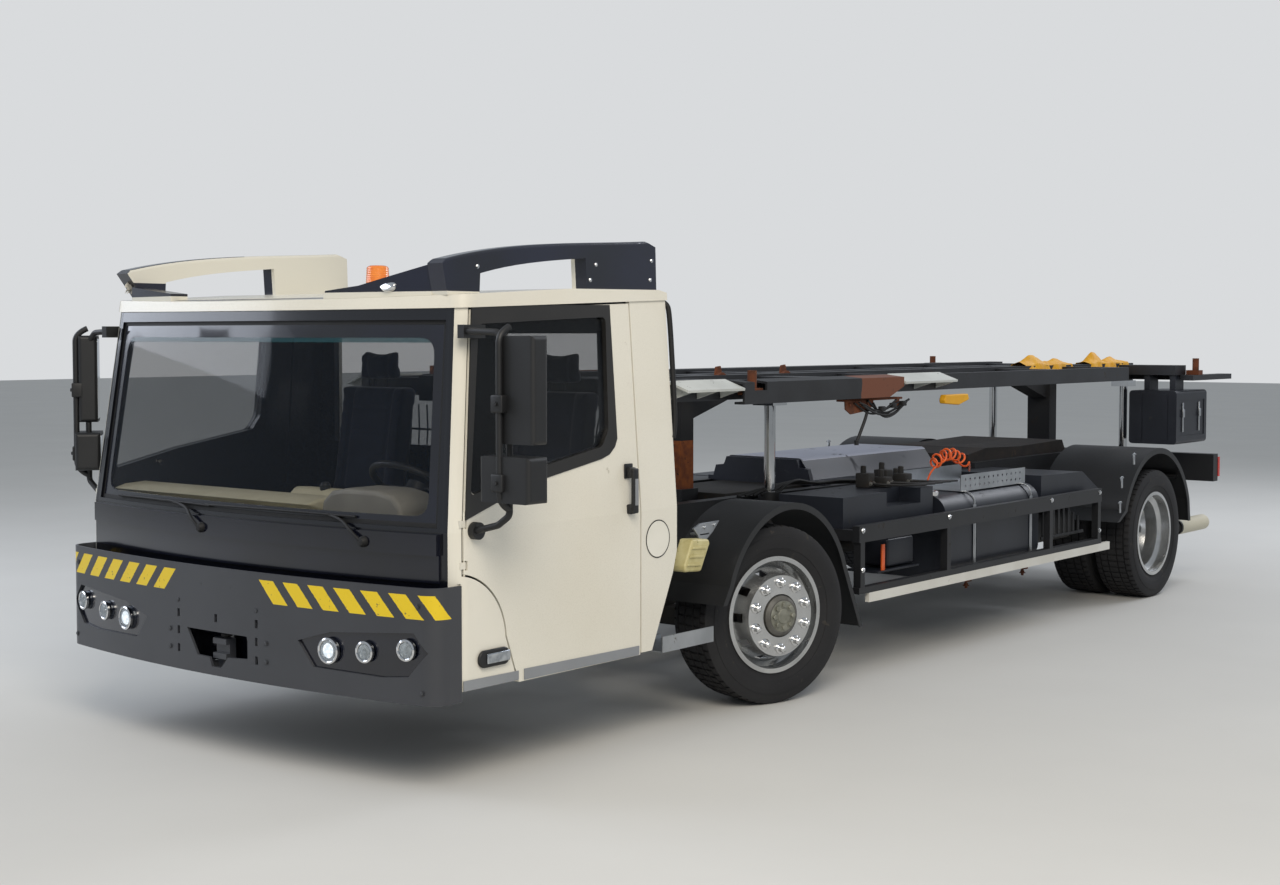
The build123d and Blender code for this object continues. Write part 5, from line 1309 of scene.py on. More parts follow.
@dataclass
class Doors(Assembly):
    """What the doors carry: window borders, handles, rub strips, mirror brackets and mirror glass."""

    skin: CabSkin = field(default_factory=CabSkin)
    border: Outline = ((-2.352, 1.120), (-2.243, 1.995), (-1.352, 2.008), (-1.352, 1.408), (-1.372, 1.372),
        (-1.412, 1.340), (-1.470, 1.322), (-1.935, 1.246))
    glass: Outline = ((-2.317, 1.215), (-2.210, 1.920), (-1.385, 1.955), (-1.410, 1.446), (-1.460, 1.376),
        (-1.930, 1.300))
    glass_middle: tuple[float, float] = (-1.85, 1.62)
    handle_y: float = -1.290
    mirror_y: float = -2.320
    tube_x: float = 1.462
    rims: tuple[tuple[str, float, float, float, float, float], ...] = (("main", -0.024, 0.164, 1.446, 1.864,
        0.045), ("wide", -0.102, 0.150, 1.212, 1.383, 0.060))
    rim_width: tuple[float, float] = (0.008, 0.010)
    far_short: float = 0.080
    far_turn: float = 38.0

    def window_frame(self) -> None:
        """The black ceramic border round each side window, with its rounded corners."""
        piece = prism("window_border_left", rear_of(*self.border), Axis.X, -0.022, 0.003)
        cutter = prism("window_cut", rear_of(*self.glass), Axis.X, -0.05, 0.05)
        y, z = self.glass_middle
        cutter.data.transform(about((0, aft(y), z), Matrix.Scale(0.9955, 4)))
        apply_modifier(cutter, "BEVEL", width=0.026, segments=5, affect="EDGES", limit_method="ANGLE",
            angle_limit=math.radians(20))
        apply_modifier(piece, "BOOLEAN", object=cutter, operation="DIFFERENCE", solver="EXACT")
        drop(cutter)
        self.skin.drape(piece, 0.0005)
        dress_both(settle(piece), DOOR_FRAME, "door_left")

    def handle(self) -> None:
        """The black pull handle with its grey grip and its lock cylinder, over the plain bar."""
        x, y = WALL_X, aft(self.handle_y)
        parts = [slab("grip_bar", (x + 0.0195, y - 0.019, 1.068), (x + 0.0392, y + 0.019, 1.272), 0.007, 3),
            slab("grip_plate", (x - 0.012, y - 0.030, 1.225), (x - 0.004, y + 0.028, 1.292), 0.006, 2)]
        parts += [slab("grip_foot", (x - 0.013, y - 0.021, z), (x + 0.024, y + 0.021, z + 0.044), 0.008, 3)
            for z in (1.064, 1.232)]
        grip = slab("handle_grip_left", (x + 0.0385, y - 0.010, 1.105), (x + 0.0412, y + 0.012, 1.225), 0.001)
        lock = lathe("door_cylinder_left", [(0, 0), (0, 0.012), (0.003, 0.012), (0.004, 0.010), (0.004, 0.004),
            (0.0025, 0.003), (0.0025, 0)], (x - 0.004, y + 0.004, 1.262), Axis.X, 20)
        dress_both(merge("door_handle_left", parts), PLASTIC, "door_left")
        dress_both(grip, GREY_TRIM, "door_left")
        dress_both(lock, CHROME, "door_left")

    def rub_strip(self) -> None:
        """The grey strip along each door's foot."""
        outline = rear_of((-2.006, 0.416), (-1.226, 0.413), (-1.226, 0.455), (-2.006, 0.463))
        strip = prism("door_strip_left", outline, Axis.X, WALL_X + 0.0003, WALL_X + 0.0045, 0.0012)
        dress_both(strip, GREY_TRIM, "door_left")

    def mirror_set(self) -> list[tuple[Piece, Finish]]:
        """The left mirrors' bracket tube with its clamps, their edges and the two glasses, and their finishes.

        Returns:
            Each piece in place on the left, with its finish.
        """
        x, y, front = self.tube_x, aft(self.mirror_y), aft(self.mirror_y) - 0.058
        bracket = [pipe("mirror_bar", [(x, y, 1.905), (x, front, 1.880), (x, front, 1.80), (x, front, 1.30), (x,
            front, 1.20), (x, y, 1.175)], 0.0145, 5)]
        for z in (1.600, 1.285):
            bracket += [slab("clamp_body", (x - 0.032, front - 0.020, z - 0.036), (x + 0.030, front + 0.034, z
                + 0.036), 0.007, 3), hexagon("clamp_bolt", (x, front - 0.019, z), Axis.Y, 0.017, -0.009)]
        edges, glasses = [], []
        wide, high = self.rim_width
        for name, x0, x1, z0, z1, depth in self.rims:
            back = y + depth
            edges.append(slab("mirror_edge", (x + x0, back - 0.012, z0), (x + x1, back + 0.001, z1), 0.005, 3))
            glass = slab("mirror_glass_" + name + "_left", (x + x0 + wide, back - 0.001, z0 + high), (x
                + x1 - wide, back + 0.0022, z1 - high), 0.001)
            glasses.append((glass, MIRROR))
        return [(merge("mirror_bracket_left", bracket), PLASTIC), (merge("mirror_edges_left", edges),
            SEAL)] + glasses

    def mirrors(self) -> None:
        """Fits the mirror pieces on both doors; the right set is turned to face the driver."""
        post = Vector((self.tube_x, aft(self.mirror_y), 0))
        shorter = Matrix.Translation(Vector((-self.far_short, 0, 0)))
        turn = shorter @ about(post, Matrix.Rotation(math.radians(self.far_turn), 4, "Z"))
        for piece, finish in self.mirror_set():
            copy = moved(piece, piece.name + "_far", (0, 0, 0), turn)
            other = twin(copy)
            other.name = other.data.name = across_from(piece.name)
            drop(copy)
            dress(piece, finish, "door_left")
            dress(other, finish, "door_right")

    def build(self) -> None:
        """Builds the door fittings and dresses the CAD leaves."""
        for side in Side:
            self.paint(DOOR, "door_" + side.word)
            self.paint(SIDE_GLASS, "door_glass_" + side.word)
            self.paint(PLASTIC, "mirrors_" + side.word)
        self.window_frame()
        self.handle()
        self.rub_strip()
        self.mirrors()


@dataclass
class Seats:
    """Two sprung seats: padded cushions, backs and headrests over moulded pedestals."""

    driver_x: float = 0.62
    half: float = 0.242
    cushion: Outline = ((-1.672, 0.922), (-1.672, 0.985), (-1.640, 1.012), (-1.170, 0.996), (-1.170, 0.908))
    back: Outline = ((-1.192, 1.030), (-1.090, 1.030), (-1.022, 1.560), (-1.030, 1.612), (-1.104, 1.612))
    head: Outline = ((-1.084, 1.640), (-1.084, 1.760), (-1.064, 1.784), (-1.030, 1.784), (-1.026, 1.640))
    voxel: float = 0.011
    travel: float = 0.012
    flat_share: float = 0.62
    seam: tuple[float, float] = (0.006, 0.010)
    stitch: tuple[float, float] = (0.004, 0.008)
    stitch_gap: float = 0.12
    folds: int = 7
    fold_pitch: float = 0.044
    pressure: float = 4.0
    blow_frames: int = 16

    def pad(self, name: str, outline: Sequence[Point], half: float, bolster: float) -> Piece:
        """One stuffed pad: remeshed, blown up a little as cloth, with raised side bolsters.

        Args:
            name: The piece's name.
            outline: Its side view, behind the front axle.
            half: Half its width.
            bolster: How far its two sides rise over its middle.

        Returns:
            The pad at the driver's place.
        """
        piece = prism(name, rear_of(*outline), Axis.X, -half, half)
        apply_modifier(piece, "REMESH", mode="VOXEL", voxel_size=self.voxel)
        apply_modifier(piece, "SMOOTH", factor=0.5, iterations=10)
        self.blow(piece)
        middle_z = sum(z for _, z in outline) / len(outline)
        flat, back_y = half * self.flat_share, aft(-1.075)
        for corner in piece.data.vertices:
            place = corner.co
            side = max(0.0, abs(place.x) - flat) / (half - flat)
            seam = self.seam[0] * math.exp(-((abs(place.x) - flat) / self.seam[1]) ** 2)
            sewn = sum(self.stitch[0] * math.exp(-((place.z - z) / self.stitch[1]) ** 2)
                for z in (middle_z - self.stitch_gap, middle_z, middle_z + self.stitch_gap))
            sewn = sewn if name.startswith("seat_back") and side == 0 else 0.0
            lift = bolster * side - seam - sewn
            if name.startswith("seat_cushion"):
                place.z += lift if place.z > middle_z else 0.0
            else:
                place.y -= lift if place.y < back_y else 0.0
            place.x += self.driver_x
        pick(piece)
        bpy.ops.object.shade_smooth()
        return piece

    def blow(self, piece: Piece) -> None:
        """Swells a remeshed pad with cloth under a small inner pressure, then caps each point's travel.

        Args:
            piece: A remeshed pad.
        """
        rest = [corner.co.copy() for corner in piece.data.vertices]
        pick(piece)
        cloth = piece.modifiers.new("fill", "CLOTH")
        cloth.settings.quality = 4
        cloth.settings.use_pressure = True
        cloth.settings.uniform_pressure_force = self.pressure
        cloth.settings.effector_weights.gravity = 0.0
        for step in range(1, self.blow_frames + 1):
            bpy.context.scene.frame_set(step)
        bpy.ops.object.modifier_apply(modifier=cloth.name)
        bpy.context.scene.frame_set(1)
        for corner, start in zip(piece.data.vertices, rest):
            travel = corner.co - start
            if travel.length > self.travel:
                corner.co = start + travel.normalized() * self.travel

    def pedestal(self) -> Piece:
        """The suspension box under a cushion: a base plate, bellows folds and a seat pan.

        Returns:
            The pedestal.
        """
        y0, y1, x = aft(-1.552), aft(-1.188), self.driver_x
        parts = [slab("foot", (x - 0.166, y0, 0.477), (x + 0.166, y1, 0.520), 0.010, 3), slab("pan", (x - 0.168,
            y0 + 0.002, 0.832), (x + 0.168, y1 - 0.002, 0.896), 0.014, 3)]
        for fold in range(self.folds):
            z, inset = 0.522 + fold * self.fold_pitch, 0.012 if fold % 2 else 0.0
            parts.append(slab("fold", (x - 0.150 + inset, y0 + 0.014 + inset, z), (x + 0.150 - inset,
                y1 - 0.014 - inset, z + self.fold_pitch - 0.002), 0.012, 3))
        return merge("seat_pedestal_left", parts)

    def build(self) -> None:
        """Builds one seat, copies it to the other side and lets both stand for the CAD seats."""
        pads = [self.pad("seat_cushion_left", self.cushion, self.half, 0.014), self.pad("seat_back_left",
            self.back, self.half - 0.008, 0.016), self.pad("seat_head_left", self.head, 0.122, 0.006)]
        stays = [pipe("stay", [(x, aft(-1.062), 1.590), (x, aft(-1.055), 1.655)], 0.007, curved=False)
            for x in (self.driver_x - 0.05, self.driver_x + 0.05)]
        for pad in pads:
            for each in dress_both(pad, CLOTH, BASE):
                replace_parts(each, "seats")
        for piece in (self.pedestal(), merge("seat_stays_left", stays)):
            for each in dress_both(piece, PLASTIC, BASE):
                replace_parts(each, "seats")


@dataclass
class Cab(Assembly):
    """The fixed cab's trim: screen border, wipers, lamps, sign, grille, dash and roof fittings."""

    screen: Outline = ((-1.17, 1.07), (-1.12, 1.95), (1.12, 1.95), (1.17, 1.07))
    clear: Outline = ((-1.092, 1.128), (-1.044, 1.862), (1.044, 1.862), (1.092, 1.128))
    seal: Outline = ((-1.1359, 1.1013), (-1.0865, 1.9187), (1.0865, 1.9187), (1.1359, 1.1013))
    tint: Outline = ((-1.06, 1.842), (-1.06, 1.872), (1.06, 1.872), (1.06, 1.842))
    depth: tuple[float, float] = (aft(-2.75), aft(-2.15))
    blades: tuple[tuple[float, float, float, float, float, float], ...] = ((-0.957, -0.178, 1.108, -0.345, -0.204,
        1.012), (-0.216, 0.732, 1.112, 0.660, 0.803, 1.015))
    sign: tuple[float, float, float] = (WALL_X + 0.0004, aft(-1.085), 0.933)
    driver_x: float = 0.62
    lens_rings: int = 9
    blade_steps: int = 10
    bars: int = 13
    bar_x: float = 0.235
    bar_pitch: float = 0.062

    def screen_edge(self) -> None:
        """The navy ceramic border, the rubber round the glass and the tint band at its top."""
        for name, outline, proud, hole, finish, slot in (("screen_border", self.screen, 0.0012,
                rounded(self.clear, 0.075), GEL, BLACK), ("screen_seal", self.screen, 0.0035, self.seal, SEAL,
                BLACK), ("screen_tint", self.tint, 0.0007, None, TINT_BAND, "glass")):
            dress(self.patch("windscreen", name, outline, self.depth, proud, hole), finish, BASE)

    def wipers(self) -> None:
        """Two parked wipers: a spindle cap on the fascia, an arm and a blade that follows the glass."""
        for number, (x0, x1, blade_z, arm_x, foot_x, foot_z) in enumerate(self.blades):
            knots = [x0 + (x1 - x0) * i / self.blade_steps for i in range(self.blade_steps + 1)]
            lying = [(x, self.front_skin("windscreen", x, blade_z) - 0.011, blade_z + 0.004 * math.sin(i * 0.3))
                for i, x in enumerate(knots)]
            foot_y = self.front_skin("fascia", foot_x, foot_z)
            arm_y = self.front_skin("windscreen", arm_x, blade_z) - 0.020
            arm = [(foot_x, foot_y - 0.016, foot_z), ((foot_x * 2 + arm_x) / 3, foot_y - 0.024, foot_z + 0.035),
                (arm_x, arm_y, blade_z - 0.006), (arm_x - 0.10, arm_y + 0.006, blade_z + 0.001)]
            wiper = merge("wiper_%d" % (number + 1), [pipe("blade", lying, 0.0055, 3), pipe("lip", [(x, y + 0.007,
                z - 0.004) for x, y, z in lying], 0.0028, 2), pipe("arm", arm, 0.0072, 4), lathe("cap", [(0, 0),
                (0, 0.024), (-0.012, 0.023), (-0.024, 0.015), (-0.027, 0)], (foot_x, foot_y + 0.002, foot_z),
                Axis.Y, 28)])
            dress(wiper, SEAL, BASE)

    def side_marks(self) -> None:
        """The side marker lamps, the blank round signs, the sill strips and the rear gutters, on both sides."""
        lamp = prism("side_marker_left", rear_of(*oval(-2.197, 0.539, 0.094, 0.037)), Axis.X, 1.2504, 1.266,
            0.006, 3)
        lens = prism("marker_lens_left", rear_of((-2.248, 0.518), (-2.248, 0.560), (-2.112, 0.562), (-2.108,
            0.540), (-2.112, 0.518)), Axis.X, 1.264, 1.2725, 0.004, 3)
        ring = lathe("sign_ring_left", [(0, 0.0835), (0, 0.0885), (0.0014, 0.0885), (0.0014, 0.0835)], self.sign,
            Axis.X, 64)
        disc = lathe("sign_face_left", [(0, 0), (0, 0.0834), (0.0011, 0.0834), (0.0011, 0)], self.sign, Axis.X,
            64)
        strip = prism("sill_strip_left", rear_of((-2.372, 0.4212), (-2.040, 0.4212), (-2.040, 0.4600), (-2.372,
            0.4640)), Axis.X, WALL_X + 0.0003, WALL_X + 0.0045, 0.0012)
        tube = pipe("rear_gutter_left", [(1.130, aft(-0.950), 2.035), (1.176, aft(-0.922), 2.030), (1.188,
            aft(-0.916), 1.960), (1.205, aft(-0.914), 1.700), (1.222, aft(-0.914), 1.440), (1.222, aft(-0.934),
            1.392)], 0.0125, 5)
        for piece, finish, slot in ((lamp, PLASTIC, BLACK), (lens, MARKER_BOWL, "lamp_glass"), (ring, SEAL,
                BLACK), (disc, SIGN_WHITE, "cab_paint"), (strip, GREY_TRIM, BLACK), (tube, SEAL, BLACK)):
            dress_both(piece, finish, BASE)

    def rear_grille(self) -> None:
        """The guard behind the rear windows: curved bars on two rails."""
        bars = []
        for side in (-1, 1):
            for x in [side * (self.bar_x + i * self.bar_pitch) for i in range(self.bars)]:
                bars.append(pipe("bar", [(x, aft(-0.922), 1.262), (x, aft(-0.912), 1.36), (x + 0.008 * side,
                    aft(-0.906), 1.44), (x + 0.022 * side, aft(-0.896), 1.505)], 0.0045, 2))
            for z in (1.285, 1.378):
                ends = [(side * x, aft(-0.918), z) for x in (0.20, 1.02)]
                bars.append(pipe("rail", ends, 0.006, 3, curved=False))
        dress(merge("rear_grille", bars), GREY_TRIM, BASE)

    def dash(self) -> None:
        """The instrument cowl and hood, the pad, the stalks and the gear lever over the CAD dashboard."""
        cowl = self.patch("dashboard", "instrument_cowl", ((0.385, 1.048), (0.385, 1.16), (0.855, 1.16), (0.855,
            1.048)), (aft(-2.60), aft(-2.05)), 0.0025)
        pad = prism("pad", rear_of((-2.395, 1.132), (-2.330, 1.150), (-2.215, 1.156), (-2.160, 1.140), (-2.150,
            1.100), (-2.300, 1.095)), Axis.X, -1.085, 0.330, 0.012, 3)
        step = prism("step", rear_of((-2.200, 1.120), (-2.130, 1.178), (-2.030, 1.170), (-1.990, 1.060), (-2.100,
            1.030)), Axis.X, -0.060, 0.270, 0.016, 3)
        hood = prism("instrument_hood", [(0.365, 1.060), (0.375, 1.150), (0.430, 1.196), (0.520, 1.212), (0.720,
            1.212), (0.810, 1.196), (0.865, 1.150), (0.875, 1.060)], Axis.Y, aft(-2.350), aft(-2.120), 0.022, 4)
        x = self.driver_x
        stalks = [pipe("stalk", [(x + s * 0.03, aft(-2.06), 1.150), (x + s * 0.12, aft(-2.03), 1.165), (x
            + s * 0.17, aft(-2.02), 1.172)], 0.008, 3) for s in (-1, 1)]
        lever = lathe("gear_selector", [(0, 0), (0, 0.034), (0.012, 0.030), (0.03, 0.012), (0.09, 0.010), (0.10,
            0.022), (0.135, 0.026), (0.15, 0.016), (0.153, 0)], (0.14, aft(-2.12), 1.055), Axis.Z, 24)
        for piece, finish, slot in ((cowl, DASH_GREY, "dash_plastic"), (hood, DASH_GREY, "dash_plastic"),
                (merge("dash_pad", [pad, step]), DASH_CREAM, "dash_plastic"), (merge("column_stalks", stalks),
                PLASTIC, BLACK), (lever, PLASTIC, BLACK)):
            dress(piece, finish, BASE)

    def roof_lamp(self) -> None:
        """The oval position lamp on the left fin's slope, and the bolts of the fin's legs."""
        lamp = lathe("roof_lamp", [(0.012, 0), (0.012, 0.026), (0.0, 0.027), (-0.006, 0.024), (-0.009, 0.014),
            (-0.010, 0)], (0, 0, 0), Axis.Y, 36)
        place = Vector((0.80, self.front_skin("roof_fins", 0.80, 2.078) + 0.004, 2.080))
        lamp.data.transform(Matrix.Translation(place) @ Matrix.Rotation(math.radians(-38), 4, "X")
            @ Matrix.Diagonal((1.7, 1.0, 1.0, 1.0)))
        dress(lamp, CHROME, BASE)
        places = [(1.110, aft(y), z) for y, z in ((-2.13, 2.16), (-1.40, 2.12), (-1.36, 2.19), (-0.965, 2.13),
            (-0.955, 2.22))]
        dress(merge("fin_bolts", bolts("bolt", places, Axis.X, 0.014, 0.006)), CHROME, BASE)

    def beacon(self) -> None:
        """The beacon's dark base and its amber lens in rings, which together stand for the plain solid."""
        low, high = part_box("beacon")
        x, y, z = low[0] + 0.063, (low[1] + high[1]) / 2, low[2]
        tall, foot = high[2] - z, 0.034
        base = lathe("beacon_base", [(0, 0), (0, 0.060), (0.010, 0.062), (0.030, 0.058), (foot, 0.054), (foot,
            0)], (x, y, z + 0.001), Axis.Z, 40)
        rings = [(0.032, 0.0)]
        for i in range(self.lens_rings):
            level = foot + (tall - 0.050) * i / (self.lens_rings - 1)
            rings += [(level, 0.0585 - 0.0006 * i), (level + 0.005, 0.0560 - 0.0006 * i)]
        rings += [(tall - 0.006, 0.047), (tall - 0.001, 0.036), (tall, 0.0)]
        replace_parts(dress(base, PLASTIC, BASE), "beacon")
        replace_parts(dress(lathe("beacon_lens", rings, (x, y, z), Axis.Z, 44), AMBER, BASE),
            "beacon")

    def torn_fin(self) -> None:
        """The right fin's broken front end: three ragged shards of laminate."""
        shards = []
        for i, (x, d) in enumerate(((-1.040, 0.0), (-1.066, 0.018), (-1.094, -0.012))):
            torn = rear_of((-2.206 + d, 2.168), (-2.262, 2.150 + d), (-2.300 - d, 2.118), (-2.322, 2.086 + d),
                (-2.286, 2.098), (-2.296 + d, 2.072), (-2.252, 2.104), (-2.236 + d, 2.088), (-2.202, 2.128))
            shard = prism("shard", torn, Axis.X, x - 0.0015, x + 0.0015)
            shard.data.transform(about((x, aft(-2.21), 2.14), Matrix.Rotation(0.22 * (i - 1), 4, "Z")))
            shards.append(shard)
        dress(merge("torn_fin_end", shards), TORN, BASE)

    def build(self) -> None:
        """Builds the trim and dresses the fixed CAD panels."""
        for node, finish in (("cab_front", CAB_FRONT), ("cab_rear", CAB_REAR), ("cab_roof", ROOF), ("roof_fins",
                FINS), ("beacon", AMBER), ("windscreen", GLASS), ("rear_windows", SIDE_GLASS), ("dashboard",
                DASH), ("steering_wheel", PLASTIC), ("cab_floor", CABIN), ("fascia", GEL)):
            self.paint(finish, node)
        self.screen_edge()
        self.wipers()
        self.side_marks()
        self.rear_grille()
        self.dash()
        self.roof_lamp()
        self.beacon()
        self.torn_fin()


@dataclass
class Nose(Assembly):
    """The bumper's lamps, bolts and towing pin."""

    # The last value of each lamp says whether its core glows as a painted highlight.
    lamps: tuple[tuple[float, float, float, bool], ...] = ((0.699, 0.561, 0.052, True), (0.894, 0.574, 0.042,
        False), (1.105, 0.600, 0.042, False))
    foremost: float = -4.4675
    bolt_high: float = 0.007
    front_turn: float = 7.0
    bolts_at: Outline = ((0.268, 0.690), (0.330, 0.474), (0.330, 0.555), (0.100, 0.775), (1.160, 0.780), (1.180,
        0.430))

    def lamp(self, x: float, z: float, r: float, glint_painted: bool) -> None:
        """One round lamp: a bright bezel, a domed ribbed lens, and behind it its bowl or a glowing core that
        paints the bright reflection at its centre.

        Args:
            x: The lamp's middle.
            z: Its height.
            r: Its CAD radius.
            glint_painted: Whether its core glows as a painted highlight of the reflection at its centre.
        """
        tag = "%s_%d" % ("left" if x > 0 else "right", round(abs(x) * 1000))
        wide, narrow = (0.62, 0.55) if glint_painted else (0.34, 0.28)
        bezel = [(0.004, r - 0.006), (-0.006, r - 0.008), (-0.009, r - 0.004), (-0.006, r + 0.003), (0.004, r
            + 0.003)]
        lens = [(0.0, 0), (0.0, r - 0.008), (-0.004, r - 0.009), (-0.010, r * 0.6), (-0.013, r * 0.3), (-0.0138,
            0)]
        core = [(0.001, 0), (0.001, r * wide), (-0.0035, r * narrow), (-0.005, 0)]
        place = Matrix.Translation(Vector((x, self.front_skin("headlamps", x, z), z)))
        for word, profile, steps, finish in (("bezel", bezel, 48, CHROME), ("lens", lens, 48, LENS), ("core",
                core, 36, PAINTED_LAMP_GLINT if glint_painted else BOWL)):
            piece = lathe("lamp_" + word + "_" + tag, profile, (0, 0, 0), Axis.Y, steps)
            piece.data.transform(place @ Matrix.Rotation(x / self.front_turn, 4, "Z"))
            dress(piece, finish, BASE)

    def build(self) -> None:
        """Builds the lamps, bolts and towing pin, and dresses the bumper."""
        for node, finish in (("front_bumper", BUMPER), ("lamp_panels", GEL), ("headlamps", BOWL)):
            self.paint(finish, node)
        for x, z, radius, glint_painted in self.lamps:
            for sign in (1, -1):
                self.lamp(sign * x, z, radius, glint_painted)
        places = [(x, max(self.front_skin("front_bumper", x, z), self.foremost + self.bolt_high + 0.0005), z)
            for across, z in self.bolts_at for x in (-across, across)]
        dress(merge("bumper_bolts", bolts("bolt", places, Axis.Y, 0.018, -self.bolt_high)), BUMPER_BOLT, BASE)
        y = self.front_skin("front_bumper", 0.0, 0.508) + 0.022
        pin = lathe("pin", [(-0.075, 0), (-0.075, 0.012), (-0.070, 0.014), (0.045, 0.014), (0.048, 0.026), (0.056,
            0.026), (0.060, 0)], (0.0, y, 0.500), Axis.Z, 24)
        ring = pipe("ring", [(0.022 * math.cos(a * 0.7), y - 0.004, 0.580 + 0.022 * math.sin(a * 0.7))
            for a in range(10)], 0.004, 3)
        dress(merge("towing_pin", [pin, ring]), CAST, BASE)


# ---- lift gear
@dataclass
class LiftGear(Assembly):
    """What the lift frame carries: white guide plates, rusty lugs, wedge, wiring and crumpled covers."""

    deck_z: float = 1.655
    beam_x: float = 0.560
    bracket_x: float = 1.134
    bracket_top: float = 1.522
    covers: tuple[tuple[float, float, float], ...] = ((3.905, 4.630, 1.742), (4.950, 5.600, 1.748))
    cover_grid: tuple[int, int] = (46, 120)
    cover_width: float = 0.21
    slack: float = 1.08
    cloth: float = 0.0016
    runs: tuple[tuple[float, float, float, float], ...] = ((0.78, 1.26, 0.066, 0.018), (0.84, 1.33, 0.084, 0.024),
        (0.80, 1.20, 0.045, 0.030), (0.92, 1.36, 0.058, 0.014), (0.98, 1.30, 0.095, 0.020))

    def lugs(self) -> None:
        """The small rusty stop lugs welded along the beams' tops."""
        x, made = self.beam_x, []
        for y in (0.330, 0.960):
            made.append(prism("lug", rear_of((y - 0.032, 1.652), (y - 0.022, 1.700), (y + 0.020, 1.704), (y
                + 0.034, 1.652)), Axis.X, x - 0.006, x + 0.006, 0.003))
            made.append(prism("lug", rear_of((y - 0.040, 1.652), (y - 0.012, 1.668), (y + 0.016, 1.668), (y
                + 0.042, 1.652)), Axis.X, x + 0.004, x + 0.030, 0.002))
        dress_both(merge("stop_lugs_left", made), RUSTY, LIFT)

    def harness_bracket(self) -> None:
        """The rusty bracket under the left arm, with its flange, hanger and screws."""
        x, top = self.bracket_x, self.bracket_top
        made = [prism("plate", rear_of((0.700, top), (0.705, 1.468), (0.760, 1.440), (0.900, 1.452), (0.985,
            1.476), (1.000, top)), Axis.X, x, x + 0.008, 0.002), slab("flange", (x - 0.050, aft(0.700),
            top - 0.012), (x + 0.008, aft(1.310), top)), slab("hanger", (x - 0.004, aft(1.240), 1.452), (x
            + 0.010, aft(1.275), top))]
        made += bolts("screw", [(x + 0.008, aft(y), z) for y, z in ((0.745, 1.492), (0.930, 1.494))], Axis.X,
            0.020, 0.008)
        dress(merge("harness_bracket", made), RUSTY, LIFT)

    def harness(self) -> None:
        """The cables that sag from the bracket, their plugs, the hanging hose and the yellow wedge behind."""
        x, top = self.bracket_x, self.bracket_top
        made = []
        for i, (start, stop, sag, out) in enumerate(self.runs):
            route = []
            for part in [k / 8 for k in range(9)]:
                hang = math.sin(math.pi * part) * sag + 0.010 * math.sin(7.0 * part + i * 1.7)
                route.append((x + out + 0.006 * math.sin(5 * part + i), aft(start + (stop - start) * part),
                    top - 0.020 - hang))
            made.append(pipe("run", route, 0.0055 + 0.0012 * (i % 2), 2))
        for y, z in ((1.060, 1.462), (1.180, 1.478), (1.290, 1.486)):
            made.append(slab("plug", (x + 0.010, aft(y - 0.022), z - 0.014), (x + 0.036, aft(y + 0.022), z
                + 0.014), 0.004))
        dress(merge("harness_runs", made), SEAL, LIFT)
        hose = [pipe("rod", [(x + 0.016, aft(0.920), 1.462), (x + 0.022, aft(0.895), 1.425), (x + 0.022,
            aft(0.850), 1.360), (x + 0.020, aft(0.800), 1.286)], 0.009), lathe("ferrule", [(0, 0), (0, 0.012),
            (0.026, 0.014), (0.028, 0)], (x + 0.020, aft(0.799), 1.272), Axis.Z, 16)]
        dress(merge("hanging_hose", hose), PLASTIC, LIFT)
        wedge = prism("wedge_block", rear_of((1.760, 1.470), (1.752, 1.492), (1.770, 1.521), (2.040, 1.521),
            (2.052, 1.486), (1.930, 1.458)), Axis.X, x - 0.006, x + 0.034, 0.006, 3)
        dress(wedge, YELLOW, LIFT)

    def cover(self, number: int, start: float, stop: float, top: float) -> None:
        """One crumpled yellow sleeve pulled over a beam's top flange, its folds running across.

        Args:
            number: Its place in the row.
            start: Its front end behind the front axle.
            stop: Its rear end.
            top: Its highest fold.
        """
        clear_selection()
        bpy.ops.mesh.primitive_grid_add(x_subdivisions=self.cover_grid[0], y_subdivisions=self.cover_grid[1],
            size=1)
        sheet = new_piece("beam_cover_%d" % number)
        for corner in sheet.data.vertices:
            across, along = corner.co.x * 2, corner.co.y + 0.5
            bend = math.sin(math.pi * min(1.0, abs(across)) / 2)
            crease = (0.9 * math.sin(along * 15 + across * 1.9 + 2 * number)
                + 0.5 * math.sin(along * 34 - across * 3.1 + number) + 0.16 * math.sin(along * 71 + across * 6.0))
            peak = math.exp(-((along - 0.24) / 0.15) ** 2) + 0.42 * math.exp(-((along - 0.72) / 0.22) ** 2)
            heap = (top - self.deck_z - 0.022) * peak * (1 - bend ** 2)
            fold = 0.0075 * (crease + 1.2) * (1 - 0.7 * bend)
            hem = max(0.0, abs(across) - 0.80) * 0.30
            corner.co = (self.beam_x + across * (0.074 + 0.010 * crease * bend), aft(start
                + along * (stop - start)), self.deck_z + 0.004 + heap + fold - hem)
        apply_modifier(sheet, "SOLIDIFY", thickness=self.cloth, offset=1.0)
        apply_modifier(sheet, "SUBSURF", levels=1, render_levels=1)
        dress(settle(sheet, 60), YELLOW, LIFT)

    def build(self) -> None:
        """Builds the lift frame's fittings and dresses its CAD nodes."""
        for node, finish in (("lift_frame", LIFT_STEEL), ("lift_masts", MAST), ("lift_rods", CHROME),
                ("guide_plates", WHITE_GUIDE), ("side_skirts", SKIRT), ("twist_locks", RUSTY), ("rear_box",
                DARK_SHELL), ("lift_cylinders", CHASSIS)):
            self.paint(finish, node)
        self.lugs()
        self.harness_bracket()
        self.harness()
        for number, (start, stop, top) in enumerate(self.covers):
            self.cover(number + 1, start, stop, top)


